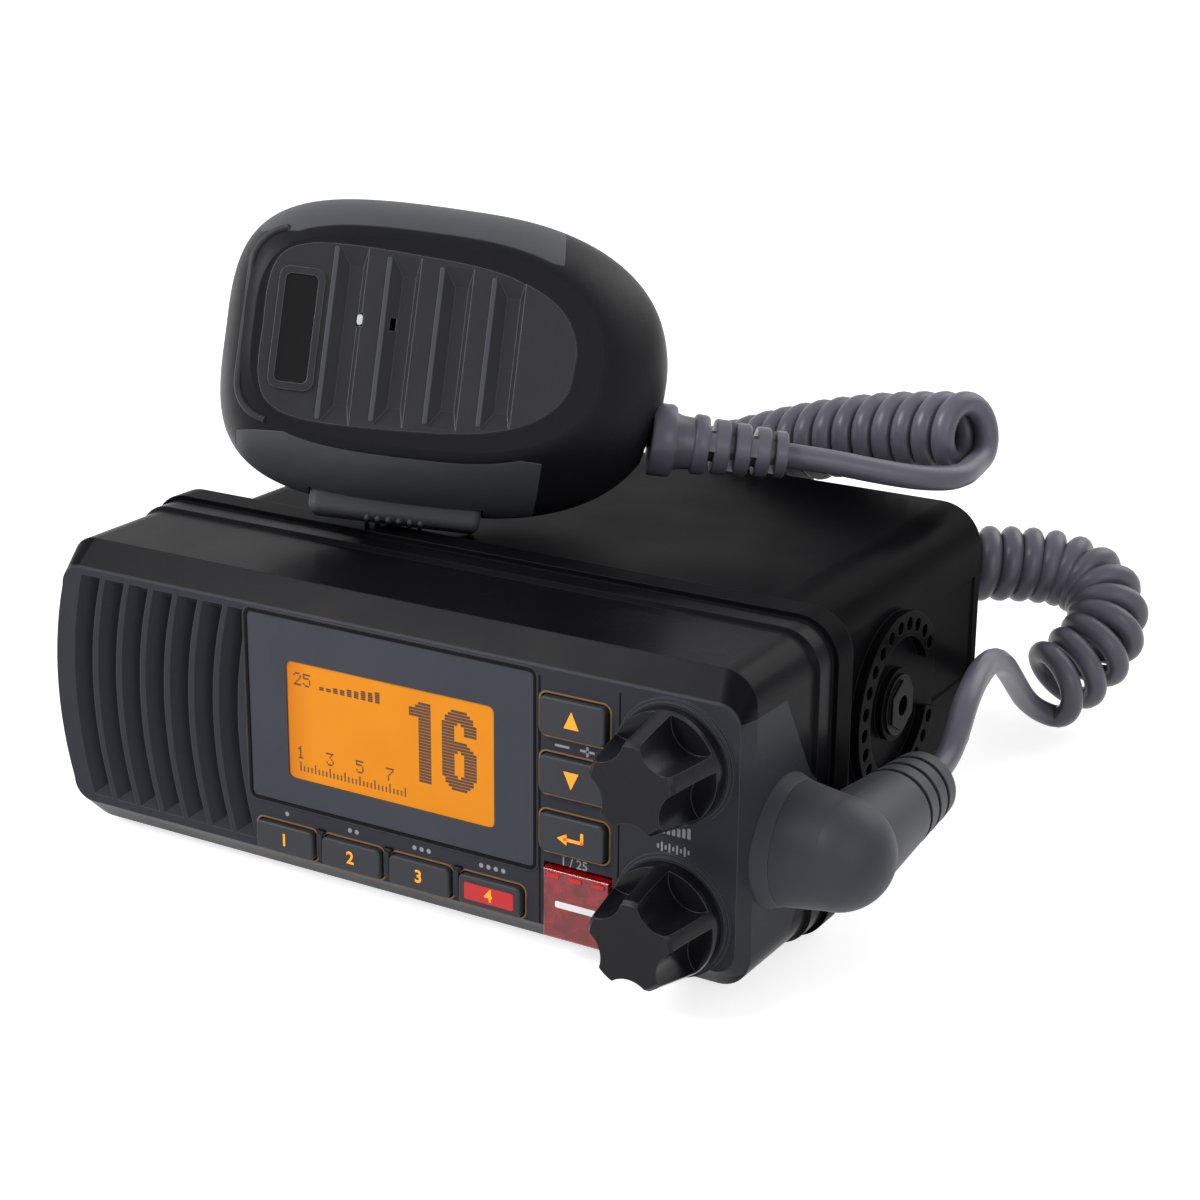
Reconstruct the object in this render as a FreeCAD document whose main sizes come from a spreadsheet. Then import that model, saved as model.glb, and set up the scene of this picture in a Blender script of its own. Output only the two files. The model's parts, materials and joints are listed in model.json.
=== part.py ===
import FreeCAD, Part
import math
import os
import re
import Sketcher

# Fixed-mount VHF marine radio with a fist microphone standing on it.
# Millimetres.  X to the right, Y to the back, Z up.  The origin lies on the surface
# that the radio stands on, straight below the two bracket pivots at the case's sides.

Vector = FreeCAD.Vector
Rotation = FreeCAD.Rotation
Placement = FreeCAD.Placement

os.makedirs("parts", exist_ok=True)
doc = FreeCAD.newDocument("marine_radio")

# ---------------------------------------------------------------- driving dimensions

SIZES = {
    # housing, front to back
    "flange_width": 187.0,
    "flange_height": 75.0,
    "flange_depth": 7.5,
    "flange_corner": 10.0,
    "flange_screw_inset": 5.8,
    "flange_screw_rise": 15.0,
    "gasket_depth": 1.0,
    "gasket_inset": 1.1,
    "gasket_width": 3.0,
    "bezel_depth": 36.6,
    "pivot_to_flange": 45.2,
    "case_length": 97.2,
    "case_width": 165.0,
    "case_height": 70.0,
    "case_corner": 11.0,
    "case_wall": 2.5,
    # bezel
    "bezel_wall": 2.6,
    "front_wall": 3.0,
    "face_width": 180.0,
    "face_low": 7.6,
    "face_high": 66.5,
    "brow_depth": 5.2,
    "brow_high": 72.6,
    "chin_low": 2.2,
    "side_bow": 3.4,
    # display
    "window_x": 3.0,
    "window_z": 42.8,
    "window_width": 76.0,
    "window_height": 44.4,
    "window_thick": 1.5,
    "screen_x": 3.25,
    "screen_z": 41.1,
    "screen_width": 55.5,
    "screen_height": 28.2,
    "panel_margin": 2.0,
    "panel_thick": 2.5,
    "backlight_margin": 4.0,
    # keys
    "key_travel": 1.2,
    "key_proud": 1.5,
    "key_gap": 0.35,
    "key_lip": 0.7,
    "key_lip_thick": 0.8,
    "key_corner": 1.4,
    "side_key_x": 51.2,
    "side_key_top": 56.5,
    "side_key_pitch": 13.2,
    "side_key_width": 16.3,
    "side_key_height": 8.7,
    "low_key_first": -25.4,
    "low_key_pitch": 18.6,
    "low_key_z": 11.6,
    "low_key_width": 16.2,
    "low_key_height": 7.0,
    "stem_width": 8.0,
    "stem_height": 4.0,
    "mat_thick": 1.2,
    "mat_width": 100.0,
    "mat_height": 9.0,
    "mat_column": 46.0,
    "board_thick": 1.6,
    "front_board_x": 25.5,
    "front_board_width": 118.0,
    "front_board_height": 54.0,
    "board_setback": 13.3,
    # distress cover
    "cover_x": 52.1,
    "cover_low": 5.6,
    "cover_width": 16.4,
    "cover_height": 16.3,
    "cover_thick": 1.3,
    "cover_gap": 0.35,
    "hinge_pin_radius": 0.6,
    "hinge_clearance": 0.08,
    "hinge_barrel_radius": 1.4,
    "hinge_proud": 0.9,
    "recess_depth": 2.6,
    "distress_width": 10.0,
    "distress_height": 6.0,
    "distress_travel": 0.8,
    # knobs
    "knob_x": 75.1,
    "volume_z": 52.25,
    "squelch_z": 18.0,
    "knob_front": 18.1,
    "knob_skirt_radius": 12.6,
    "knob_tip_radius": 9.7,
    "knob_flutes": 5.0,
    "flute_radius": 6.3,
    "flute_centre": 13.5,
    "collar_radius": 13.8,
    "collar_step": 0.7,
    "collar_proud": 1.2,
    "shaft_radius": 3.0,
    "shaft_clearance": 0.3,
    "pot_bore_clearance": 0.05,
    "pot_size": 16.0,
    "pot_depth": 8.0,
    # grille and loudspeaker
    "grille_slots": 7.0,
    "grille_first": -84.4,
    "grille_pitch": 7.25,
    "grille_slot_width": 5.6,
    "grille_low": 9.6,
    "grille_high": 65.0,
    "grille_depth": 5.4,
    "grille_bow_radius": 100.0,
    "grille_slit": 1.1,
    "grille_backing": 5.6,
    "speaker_x": -63.4,
    "speaker_z": 37.5,
    "speaker_radius": 21.5,
    "magnet_radius": 13.0,
    # bracket pivots at the case's sides
    "pivot_height": 37.5,
    "ring_outer": 22.3,
    "ring_inner": 16.4,
    "ring_proud": 2.5,
    "ring_hole_circle": 19.3,
    "ring_hole_radius": 1.65,
    "ring_hole_step": 15.0,
    "ring_hole_first": 34.4,
    "ring_holes": 21.0,
    "insert_radius": 7.3,
    "insert_body_radius": 5.5,
    "insert_hex": 11.0,
    "insert_bore_radius": 2.5,
    "insert_length": 11.0,
    # back of the radio
    "sink_plate": 3.0,
    "sink_fins": 17.0,
    "sink_fin_thick": 1.8,
    "sink_fin_depth": 9.0,
    "sink_fin_span": 100.0,
    "socket_x": -64.0,
    "socket_z": 47.5,
    "socket_thread_radius": 7.94,
    "socket_length": 15.0,
    "socket_bore_radius": 4.2,
    "socket_bore_depth": 5.8,
    "plug_x": -62.0,
    "plug_z": 20.0,
    "plug_depth": 10.0,
    "socket_width": 18.0,
    "socket_tall": 12.0,
    # boards inside
    "main_board_z": 14.0,
    "main_board_y": -38.0,
    "board_side_room": 5.0,
    "board_back_room": 8.0,
    "shield_height": 12.0,
    # feet of the case
    "rail_width": 6.0,
    "rail_x": 55.0,
    "rail_start": -20.0,
    # boot at the right side
    "boot_y": -72.0,
    "boot_z": 31.8,
    "boot_turn_out": 13.2,
    "boot_root_radius": 13.6,
    "boot_turn_radius": 12.2,
    "boot_leg_radius": 9.2,
    "boot_tip_radius": 8.0,
    "boot_end_y": -29.5,
    "boot_ribs": 3.0,
    "collar_boot_radius": 15.0,
    "collar_boot_width": 4.0,
    # cord
    "cord_radius": 3.0,
    "coil_radius": 10.4,
    # microphone: where the middle of its face plate is, and how it stands
    "mic_x": -11.0,
    "mic_y": -44.0,
    "mic_z": 119.0,
    "mic_yaw": 36.0,
    "mic_tilt": 8.0,
    "mic_lean": 22.0,
    "mic_length": 104.0,
    "mic_width": 72.0,
    "mic_depth": 38.0,
    "mic_wall": 3.0,
    "mic_seam": 20.0,
    "mic_plate_thick": 2.2,
    "mic_plate_gap": 0.1,
    "mic_grip_thick": 1.2,
    "ptt_length": 40.0,
    "ptt_u": -8.0,
    "ptt_width": 11.0,
    "ptt_proud": 3.5,
    "ptt_travel": 1.5,
    "ptt_gap": 0.4,
    "relief_v": -12.0,
    "relief_collar_radius": 8.6,
    "relief_root_radius": 6.6,
    "relief_tip_radius": 4.8,
    "relief_end": 82.2,
    "screw_head_radius": 2.6,
    "screw_radius": 1.4,
}

sheet = doc.addObject("Spreadsheet::Sheet", "sizes")
for row, (alias, value) in enumerate(SIZES.items(), start=1):
    sheet.set(f"A{row}", alias.replace("_", " "))
    sheet.set(f"B{row}", str(value))
    sheet.setAlias(f"B{row}", alias)
doc.recompute()


def size(alias):
    """One driving dimension, read back from the sheet."""
    return float(sheet.get(alias))


def expression(text):
    """A formula in plain aliases, as the document's expressions want it."""
    def named(match):
        word = match.group(0)
        return "sizes." + word if word in SIZES else word
    return re.sub(r"[a-z][a-z0-9_]*", named, text)


def worked_out(text):
    """The number that a formula gives now, worked out in a spare cell of the sheet."""
    sheet.set("D1", "=" + text)
    sheet.recompute()
    return float(sheet.get("D1"))


def bind(thing, prop, text):
    thing.setExpression(prop, expression(text))


def bind_base(thing, x, y, z):
    bind(thing, "Placement.Base.x", x)
    bind(thing, "Placement.Base.y", y)
    bind(thing, "Placement.Base.z", z)


# the planes of the build-up along Y, as formulas
CASE_FRONT = "(-pivot_to_flange - flange_depth)"
FACE = "(-pivot_to_flange - flange_depth - gasket_depth - bezel_depth)"
WALL = "(-pivot_to_flange - flange_depth - gasket_depth - bezel_depth + front_wall)"
BOARD = "(-pivot_to_flange - flange_depth - gasket_depth - bezel_depth + board_setback)"
SINK_FRONT = "(case_length - pivot_to_flange - sink_fin_depth - sink_plate)"
MIDDLE = "(flange_height / 2)"
BOARD_WIDTH = "(case_width - 2 * case_wall - 2 * board_side_room)"
BOARD_LENGTH = ("(case_length - pivot_to_flange - sink_fin_depth - sink_plate - board_back_room"
                " - main_board_y)")

face_y = (-size("pivot_to_flange") - size("flange_depth") - size("gasket_depth")
          - size("bezel_depth"))
wall_y = face_y + size("front_wall")
bezel_back = face_y + size("bezel_depth")
case_front = bezel_back + size("gasket_depth")
flange_back = -size("pivot_to_flange")
case_back = size("case_length") - size("pivot_to_flange")
board_y = face_y + size("board_setback")
sink_front = case_back - size("sink_fin_depth") - size("sink_plate")
middle = size("flange_height") / 2
case_side = size("case_width") / 2

NODES = []


def keep(thing, label):
    """Give a finished piece its own label and put it on the list of sub-parts."""
    thing.Label = label
    NODES.append(thing)
    return thing


# ---------------------------------------------------------------- helpers: bodies

TURNS = {"z": Rotation(), "y": Rotation(Vector(1, 0, 0), -90), "-y": Rotation(Vector(1, 0, 0), 90),
         "x": Rotation(Vector(0, 1, 0), 90), "-x": Rotation(Vector(0, 1, 0), -90)}


def sketch_on(body, role, name):
    plane = next(f for f in body.Origin.OriginFeatures if f.Role == role)
    sketch = body.newObject("Sketcher::SketchObject", name)
    sketch.AttachmentSupport = [(plane, "")]
    sketch.MapMode = "FlatFace"
    return sketch


def rounded_outline(sketch, width, height, corner, across="0", up="0"):
    """A fully constrained rounded rectangle; the sizes are formulas."""
    first = sketch.GeometryCount
    w, t = worked_out(width) / 2, worked_out(height) / 2
    r = worked_out(corner)
    x, y = worked_out(across), worked_out(up)
    line, arc = Part.LineSegment, Part.ArcOfCircle
    normal = Vector(0, 0, 1)

    def at(dx, dy):
        return Vector(x + dx, y + dy, 0)

    def corner_arc(dx, dy, start):
        circle = Part.Circle(at(dx, dy), normal, r)
        return arc(circle, start, start + math.pi / 2)
    sketch.addGeometry([
        line(at(-w + r, -t), at(w - r, -t)),
        line(at(w, -t + r), at(w, t - r)),
        line(at(w - r, t), at(-w + r, t)),
        line(at(-w, t - r), at(-w, -t + r)),
        corner_arc(w - r, -t + r, -math.pi / 2),
        corner_arc(w - r, t - r, 0),
        corner_arc(-w + r, t - r, math.pi / 2),
        corner_arc(-w + r, -t + r, math.pi),
    ], False)
    bottom, right, top, left, low_right, high_right, high_left, low_left = range(first, first + 8)
    rules = [("Tangent", bottom, 2, low_right, 1), ("Tangent", low_right, 2, right, 1),
             ("Tangent", right, 2, high_right, 1), ("Tangent", high_right, 2, top, 1),
             ("Tangent", top, 2, high_left, 1), ("Tangent", high_left, 2, left, 1),
             ("Tangent", left, 2, low_left, 1), ("Tangent", low_left, 2, bottom, 1),
             ("Horizontal", bottom), ("Horizontal", top), ("Vertical", left), ("Vertical", right),
             ("Equal", low_right, high_right), ("Equal", low_right, high_left)]
    sketch.addConstraint([Sketcher.Constraint(*rule) for rule in rules])
    driven = [(("DistanceX", left, 1, right, 1, 2 * w), width),
              (("DistanceY", bottom, 1, top, 1, 2 * t), height),
              (("Radius", low_right, r), corner),
              (("DistanceX", -1, 1, right, 1, x + w), f"({width}) / 2 + {across}"),
              (("DistanceY", -1, 1, top, 1, y + t), f"({height}) / 2 + {up}")]
    for rule, formula in driven:
        index = sketch.addConstraint(Sketcher.Constraint(*rule))
        sketch.setExpression(f"Constraints[{index}]", expression(formula))


def pad(body, sketch, length, back=False):
    feature = body.newObject("PartDesign::Pad", "pad")
    feature.Profile = (sketch, [""])
    feature.Reversed = back
    bind(feature, "Length", length)
    sketch.Visibility = False
    return feature


def pocket(body, sketch, length, back=False):
    feature = body.newObject("PartDesign::Pocket", "pocket")
    feature.Profile = (sketch, [""])
    feature.Reversed = back
    bind(feature, "Length", length)
    return feature


def plate(label, role, width, height, corner, thick, base, back=False):
    """A body made of one padded rounded rectangle.  Role XZ_Plane pads to the front, -Y."""
    body = doc.addObject("PartDesign::Body", label)
    sketch = sketch_on(body, role, "outline")
    rounded_outline(sketch, width, height, corner)
    pad(body, sketch, thick, back)
    bind_base(body, *base)
    return keep(body, label)


def soften(body, label, test, radius):
    """Round the edges of the body's last feature whose middle passes the test."""
    doc.recompute()
    base = body.Tip
    names = [f"Edge{i + 1}" for i, edge in enumerate(base.Shape.Edges)
             if test(edge.CenterOfMass, edge)]
    feature = body.newObject("PartDesign::Fillet", label)
    feature.Base = (base, names)
    feature.Radius = radius
    return feature


# ---------------------------------------------------------------- helpers: primitives

def cylinder(radius, length, x, y, z, along="z"):
    thing = doc.addObject("Part::Cylinder", "cylinder")
    bind(thing, "Radius", radius)
    bind(thing, "Height", length)
    thing.Placement.Rotation = TURNS[along]
    bind_base(thing, x, y, z)
    return thing


def cone(radius_one, radius_two, length, x, y, z, along="z"):
    thing = doc.addObject("Part::Cone", "cone")
    bind(thing, "Radius1", radius_one)
    bind(thing, "Radius2", radius_two)
    bind(thing, "Height", length)
    thing.Placement.Rotation = TURNS[along]
    bind_base(thing, x, y, z)
    return thing


def box(length, width, height, x, y, z):
    """A box whose x and z are its middle, and y its front."""
    thing = doc.addObject("Part::Box", "box")
    bind(thing, "Length", length)
    bind(thing, "Width", width)
    bind(thing, "Height", height)
    bind_base(thing, f"{x} - ({length}) / 2", y, f"{z} - ({height}) / 2")
    return thing


def fuse(*things):
    joined = doc.addObject("Part::MultiFuse", "fuse")
    joined.Shapes = list(things)
    joined.Refine = True
    return joined


def cut(base, *tools):
    result = doc.addObject("Part::Cut", "cut")
    result.Base = base
    result.Tool = tools[0] if len(tools) == 1 else fuse(*tools)
    return result


def feature(label, shape, placement=None):
    """A piece whose shape is worked out below from the sheet's values."""
    thing = doc.addObject("Part::Feature", label)
    thing.Shape = shape
    if placement is not None:
        thing.Placement = placement
    return keep(thing, label)


def solid_box(x0, y0, z0, x1, y1, z1):
    return Part.makeBox(x1 - x0, y1 - y0, z1 - z0, Vector(x0, y0, z0))


def rod(radius, start, end):
    start, end = Vector(*start), Vector(*end)
    axis = end - start
    return Part.makeCylinder(radius, axis.Length, start, axis)


def rounded_section(y, half_width, low, high, corner, bow=0.0):
    """A rounded rectangle across Y; its left side can bow outward."""
    c = corner * (1 - math.sqrt(0.5))
    left, right = -half_width, half_width

    def at(x, z):
        return Vector(x, y, z)

    def arc(a, b, d):
        return Part.Arc(at(*a), at(*b), at(*d)).toShape()

    def line(a, b):
        return Part.LineSegment(at(*a), at(*b)).toShape()
    mid = (low + high) / 2
    if bow > 0:
        side = arc((left, high - corner), (left - bow, mid), (left, low + corner))
    else:
        side = line((left, high - corner), (left, low + corner))
    edges = [line((left + corner, low), (right - corner, low)),
             arc((right - corner, low), (right - c, low + c), (right, low + corner)),
             line((right, low + corner), (right, high - corner)),
             arc((right, high - corner), (right - c, high - c), (right - corner, high)),
             line((right - corner, high), (left + corner, high)),
             arc((left + corner, high), (left + c, high - c), (left, high - corner)),
             side,
             arc((left, low + corner), (left + c, low + c), (left + corner, low))]
    return Part.Wire(edges)


def rounded_bar(half_width, low, high, corner, y0, y1):
    """A bar along Y with rounded long edges."""
    wire = rounded_section(y0, half_width, low, high, corner)
    return Part.Face(wire).extrude(Vector(0, y1 - y0, 0))


def both_sides(shape):
    """The shape and its mirror image across the middle plane."""
    return [shape, shape.mirror(Vector(0, 0, 0), Vector(1, 0, 0))]


# ---------------------------------------------------------------- front bezel

def key_places():
    """Name, x, z and half-sizes of each key."""
    x, top, step = size("side_key_x"), size("side_key_top"), size("side_key_pitch")
    w, t = size("side_key_width"), size("side_key_height")
    places = [(name, x, top - i * step, w, t)
              for i, name in enumerate(("key_up", "key_down", "key_enter"))]
    first, step, low = size("low_key_first"), size("low_key_pitch"), size("low_key_z")
    w, t = size("low_key_width"), size("low_key_height")
    places += [(name, first + i * step, low, w, t)
               for i, name in enumerate(("key_one", "key_two", "key_three", "key_four"))]
    return places


def bezel_side_x():
    """Where the bezel's right-hand side is at the boot's axis."""
    return size("flange_width") / 2 - size("gasket_inset") - 1.6


def grille_slot(index):
    """One louvre: a bowed wedge that gets deeper to the right, and a slit right through."""
    left = size("grille_first") + index * size("grille_pitch")
    right = left + size("grille_slot_width")
    deep = face_y + size("grille_depth")
    through = face_y + size("grille_depth") + size("front_wall")
    slit = right - size("grille_slit")
    low, high = size("grille_low"), size("grille_high")
    mid = (low + high) / 2
    radius = size("grille_bow_radius")
    centre = Vector(left + radius - size("side_bow"), 0, mid)
    front = face_y - 1.0
    outline = [(left, front), (left, face_y), (slit, deep), (slit, through), (right, through),
               (right, front), (left, front)]
    shift = centre.x - radius - left
    face = Part.Face(Part.makePolygon([Vector(x + shift, y, mid) for x, y in outline]))
    sweep = 2 * math.degrees(math.asin((high - low) / 2 / radius)) + 6
    face.rotate(centre, Vector(0, 1, 0), -sweep / 2)
    wedge = face.revolve(centre, Vector(0, 1, 0), sweep)
    slope = size("grille_depth")
    side = [(front, low - 0.3), (front, high), (face_y, high), (through, high - slope),
            (through, low + slope), (face_y, low), (front, low - 0.3)]
    wide = size("grille_pitch") * 2
    limit = Part.Face(Part.makePolygon([Vector(left - wide, y, z) for y, z in side]))
    return wedge.common(limit.extrude(Vector(3 * wide, 0, 0)))


def bezel_outer():
    """The bezel's closed outer form: rear band, groove, sides, brow and chin, face."""
    half_face = size("face_width") / 2
    half_back = size("flange_width") / 2 - size("gasket_inset")
    inset, top = size("gasket_inset"), size("flange_height")
    brow, band, bow = face_y + size("brow_depth"), bezel_back - 5.8, size("side_bow")
    return Part.makeLoft([
        rounded_section(bezel_back, half_back, inset, top - inset, 9.0),
        rounded_section(band, half_back, inset, top - inset, 9.0),
        rounded_section(band - 1.2, half_back - 1.0, inset + 0.9, top - inset - 0.9, 8.4, 0.4),
        rounded_section(brow, half_face + 1.0, size("chin_low"), size("brow_high"), 7.5, bow),
        rounded_section(face_y, half_face, size("face_low"), size("face_high"), 5.0, bow)],
        True, True)


def bezel_shell():
    low, high = size("face_low"), size("face_high")
    half_face = size("face_width") / 2
    half_back = size("flange_width") / 2 - size("gasket_inset")
    inset, top = size("gasket_inset"), size("flange_height")
    brow, bow = face_y + size("brow_depth"), size("side_bow")
    wall = size("bezel_wall")
    inner = [rounded_section(bezel_back + 1, half_back - wall, inset + wall, top - inset - wall, 7),
             rounded_section(brow + 2.5, half_face - 1.8, size("chin_low") + wall + 0.4,
                             size("brow_high") - wall - 0.4, 5.5, bow),
             rounded_section(wall_y, half_face - 3.2, low + 2.6, high - 2.6, 3.0, bow)]
    body = bezel_outer()
    hollow = Part.makeLoft(inner, True, True)
    backing = solid_box(size("grille_first") - 6, face_y + 0.5, 6.0,
                        size("window_x") - size("window_width") / 2 - 0.6,
                        face_y + size("grille_backing"), 68.0)
    return body.cut(hollow).fuse(backing.common(body)).removeSplitter()


def bezel_bosses(shell):
    """Screw bosses beside the flange and the two stepped collars behind the knobs."""
    added = []
    for x, z in flange_screw_places():
        added.append(rod(3.4, (x, bezel_back, z), (x, bezel_back - 14, z)))
    for z in (size("volume_z"), size("squelch_z")):
        x = size("knob_x")
        added.append(rod(size("collar_radius"), (x, face_y - size("collar_proud") / 2, z),
                         (x, wall_y + 1.0, z)))
        added.append(rod(size("collar_radius") - size("collar_step"),
                         (x, face_y - size("collar_proud"), z), (x, face_y, z)))
    outline = bezel_outline_block()
    added[:4] = [boss.common(outline) for boss in added[:4]]
    return shell.fuse(added)


def bezel_outline_block():
    inset, top = size("gasket_inset"), size("flange_height")
    half_back = size("flange_width") / 2 - inset
    return rounded_bar(half_back - 0.6, inset + 0.6, top - inset - 0.6, 9, bezel_back - 20,
                       bezel_back)


def flange_screw_places():
    x, rise = size("flange_width") / 2 - size("flange_screw_inset"), size("flange_screw_rise")
    return [(sx * x, z) for sx in (-1, 1) for z in (rise, size("flange_height") - rise)]


def lip_room(x, z, width, height, travel):
    """Room behind the front wall for a key's lip over its whole travel."""
    w, t = (side / 2 + size("key_lip") + 0.4 for side in (width, height))
    deep = size("key_lip_thick") + travel + 0.4
    return solid_box(x - w, wall_y, z - t, x + w, wall_y + deep, z + t)


def front_bezel():
    shell = bezel_bosses(bezel_shell())
    tools = [grille_slot(i) for i in range(int(size("grille_slots")))]
    # window recess and the opening behind it
    front, gap = face_y - 2, 0.1
    w, t = size("window_width") / 2 + gap, size("window_height") / 2 + gap
    x, z = size("window_x"), size("window_z")
    tools.append(solid_box(x - w, front, z - t, x + w, face_y + size("window_thick") + gap, z + t))
    margin = size("panel_margin") + 0.25
    w, t = size("screen_width") / 2 + margin, size("screen_height") / 2 + margin
    x, z = size("screen_x"), size("screen_z")
    tools.append(solid_box(x - w, front, z - t, x + w, wall_y + 2, z + t))
    # key openings
    gap = size("key_gap")
    for _, x, z, w, t in key_places():
        wire = rounded_section(front, w / 2 + gap, -t / 2 - gap, t / 2 + gap,
                               size("key_corner") + gap)
        wire.translate(Vector(x, 0, z))
        tools.append(Part.Face(wire).extrude(Vector(0, wall_y + 2 - front, 0)))
        tools.append(lip_room(x, z, w, t, size("key_travel")))
    # recess for the distress cover, the button's opening and the hinge pin's holes
    gap = size("cover_gap")
    x, low = size("cover_x"), size("cover_low")
    w, high = size("cover_width") / 2 + gap, hinge_z + lid_swing + 0.15
    tools.append(solid_box(x - w, front, low - gap, x + w, face_y + size("recess_depth"), high))
    w, t = size("distress_width") / 2 + gap, size("distress_height") / 2 + gap
    z = distress_z
    tools.append(solid_box(x - w, front, z - t, x + w, wall_y + 4, z + t))
    tools.append(lip_room(x, z, size("distress_width"), size("distress_height"),
                          size("distress_travel")))
    half = size("cover_width") / 2 + pin_seat
    tools.append(rod(size("hinge_pin_radius"), (x - half, hinge_y, hinge_z),
                     (x + half, hinge_y, hinge_z)))
    # shafts, cord hole and screw holes
    bore = size("shaft_radius") + size("shaft_clearance")
    for z in (size("volume_z"), size("squelch_z")):
        tools.append(rod(bore, (size("knob_x"), front, z), (size("knob_x"), wall_y + 5, z)))
    side, y, z = bezel_side_x(), size("boot_y"), size("boot_z")
    tools.append(rod(5.0, (side - 10.8, y, z), (side + 6.2, y, z)))
    for x, z in flange_screw_places():
        tools.append(rod(size("screw_radius"), (x, bezel_back + 1, z), (x, bezel_back - 10, z)))
    return shell.cut(tools)


hinge_y = face_y + size("hinge_proud")
hinge_z = size("cover_low") + size("cover_height") - size("hinge_barrel_radius")
distress_z = size("cover_low") + 7.0
pin_seat, lid_gap = 1.4, 0.3
lid_swing = math.hypot(2 * size("hinge_proud"), size("hinge_barrel_radius") - lid_gap)
feature("front_bezel", front_bezel())

# ---------------------------------------------------------------- display

frame = plate("window_frame", "XZ_Plane", "window_width", "window_height", "1.2", "window_thick",
              ("window_x", FACE + " + window_thick", "window_z"))
opening = sketch_on(frame, "XZ_Plane", "screen_opening")
rounded_outline(opening, "screen_width", "screen_height", "1.6", "screen_x - window_x",
                "screen_z - window_z")
pocket(frame, opening, "window_thick", back=True)

plate("lcd_lens", "XZ_Plane", "screen_width - 0.1", "screen_height - 0.1", "1.55",
      "window_thick - 0.3", ("screen_x", FACE + " + window_thick", "screen_z"))
plate("lcd_panel", "XZ_Plane", "screen_width + 2 * panel_margin", "screen_height + 2 * panel_margin",
      "1", "panel_thick", ("screen_x", FACE + " + window_thick + 0.1 + panel_thick", "screen_z"))
plate("lcd_backlight", "XZ_Plane", "screen_width + 2 * backlight_margin",
      "screen_height + 2 * backlight_margin", "1.5",
      "board_setback - window_thick - 0.1 - panel_thick", ("screen_x", BOARD, "screen_z"))

# ---------------------------------------------------------------- keys


def key(name, x, z, width, height):
    """A rubber key: cap through the front wall, a lip behind it and a stem to the mat."""
    body = doc.addObject("PartDesign::Body", name)
    cap = sketch_on(body, "XZ_Plane", "cap")
    rounded_outline(cap, width, height, "key_corner")
    pad(body, cap, "front_wall + key_proud + key_lip_thick / 2")
    lip = sketch_on(body, "XZ_Plane", "lip")
    rounded_outline(lip, f"{width} + 2 * key_lip", f"{height} + 2 * key_lip", "key_corner")
    pad(body, lip, "key_lip_thick", back=True)
    stem = sketch_on(body, "XZ_Plane", "stem")
    rounded_outline(stem, "stem_width", "stem_height", "0.8")
    pad(body, stem, "board_setback - front_wall - key_lip_thick / 2 - mat_thick - key_travel - 0.3",
        back=True)
    proud = size("front_wall") + size("key_proud") + size("key_lip_thick") / 2
    soften(body, "soft_edge", lambda p, e: abs(p.y + proud) < 0.01, 0.6)
    bind_base(body, x, WALL + " + key_lip_thick / 2", z)
    return keep(body, name)


for i, name in enumerate(("key_up", "key_down", "key_enter")):
    key(name, "side_key_x", f"side_key_top - {i} * side_key_pitch", "side_key_width",
        "side_key_height")
for i, name in enumerate(("key_one", "key_two", "key_three", "key_four")):
    key(name, f"low_key_first + {i} * low_key_pitch", "low_key_z", "low_key_width",
        "low_key_height")

# ---------------------------------------------------------------- front board and keypad mat

mat = plate("keypad_mat", "XZ_Plane", "mat_width", "mat_height", "1", "mat_thick",
            ("low_key_first + 1.5 * low_key_pitch + 8", BOARD, "low_key_z"))
column = sketch_on(mat, "XZ_Plane", "column")
rounded_outline(column, "stem_width + 4", "mat_column", "1",
                "side_key_x - low_key_first - 1.5 * low_key_pitch - 8",
                "side_key_top - side_key_pitch - low_key_z - 10")
pad(mat, column, "mat_thick")

front_board = plate("front_board", "XZ_Plane", "front_board_width", "front_board_height", "2",
                    "board_thick", ("front_board_x", BOARD + " + board_thick", MIDDLE + " - 0.5"))
shaft_holes = sketch_on(front_board, "XZ_Plane", "shaft_holes")
for up in ("volume_z", "squelch_z"):
    rounded_outline(shaft_holes, "7", "7", "3.4", "knob_x - front_board_x", f"{up} - {MIDDLE} + 0.5")
pocket(front_board, shaft_holes, "board_thick", back=True)

# ---------------------------------------------------------------- distress cover and button


def distress_cover():
    """A thin lid with a hinge barrel along its top edge."""
    x, low = size("cover_x"), size("cover_low")
    half, high = size("cover_width") / 2, size("cover_low") + size("cover_height")
    front = face_y - size("hinge_proud")
    lid = solid_box(x - half, front, low, x + half, front + size("cover_thick"), high - lid_gap)
    lid = lid.makeFillet(0.5, [e for e in lid.Edges if abs(e.CenterOfMass.y - front) < 0.01])
    barrel = rod(size("hinge_barrel_radius"), (x - half, hinge_y, hinge_z), (x + half, hinge_y, hinge_z))
    web = solid_box(x - half, front + 0.6, hinge_z - 0.9, x + half, hinge_y, hinge_z + 0.9)
    skirt = solid_box(x - half, front + 0.5, low, x + half, face_y + 0.8, low + 1.2)
    bore = rod(size("hinge_pin_radius") + size("hinge_clearance"),
               (x - half - 1, hinge_y, hinge_z), (x + half + 1, hinge_y, hinge_z))
    return lid.fuse([barrel, web, skirt]).cut(bore).removeSplitter()


feature("distress_cover", distress_cover())
pin = cylinder("hinge_pin_radius", "cover_width + 2 * 1.4", "cover_x - cover_width / 2 - 1.4",
               FACE + " + hinge_proud", "cover_low + cover_height - hinge_barrel_radius", "x")
keep(pin, "distress_hinge_pin")

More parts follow.
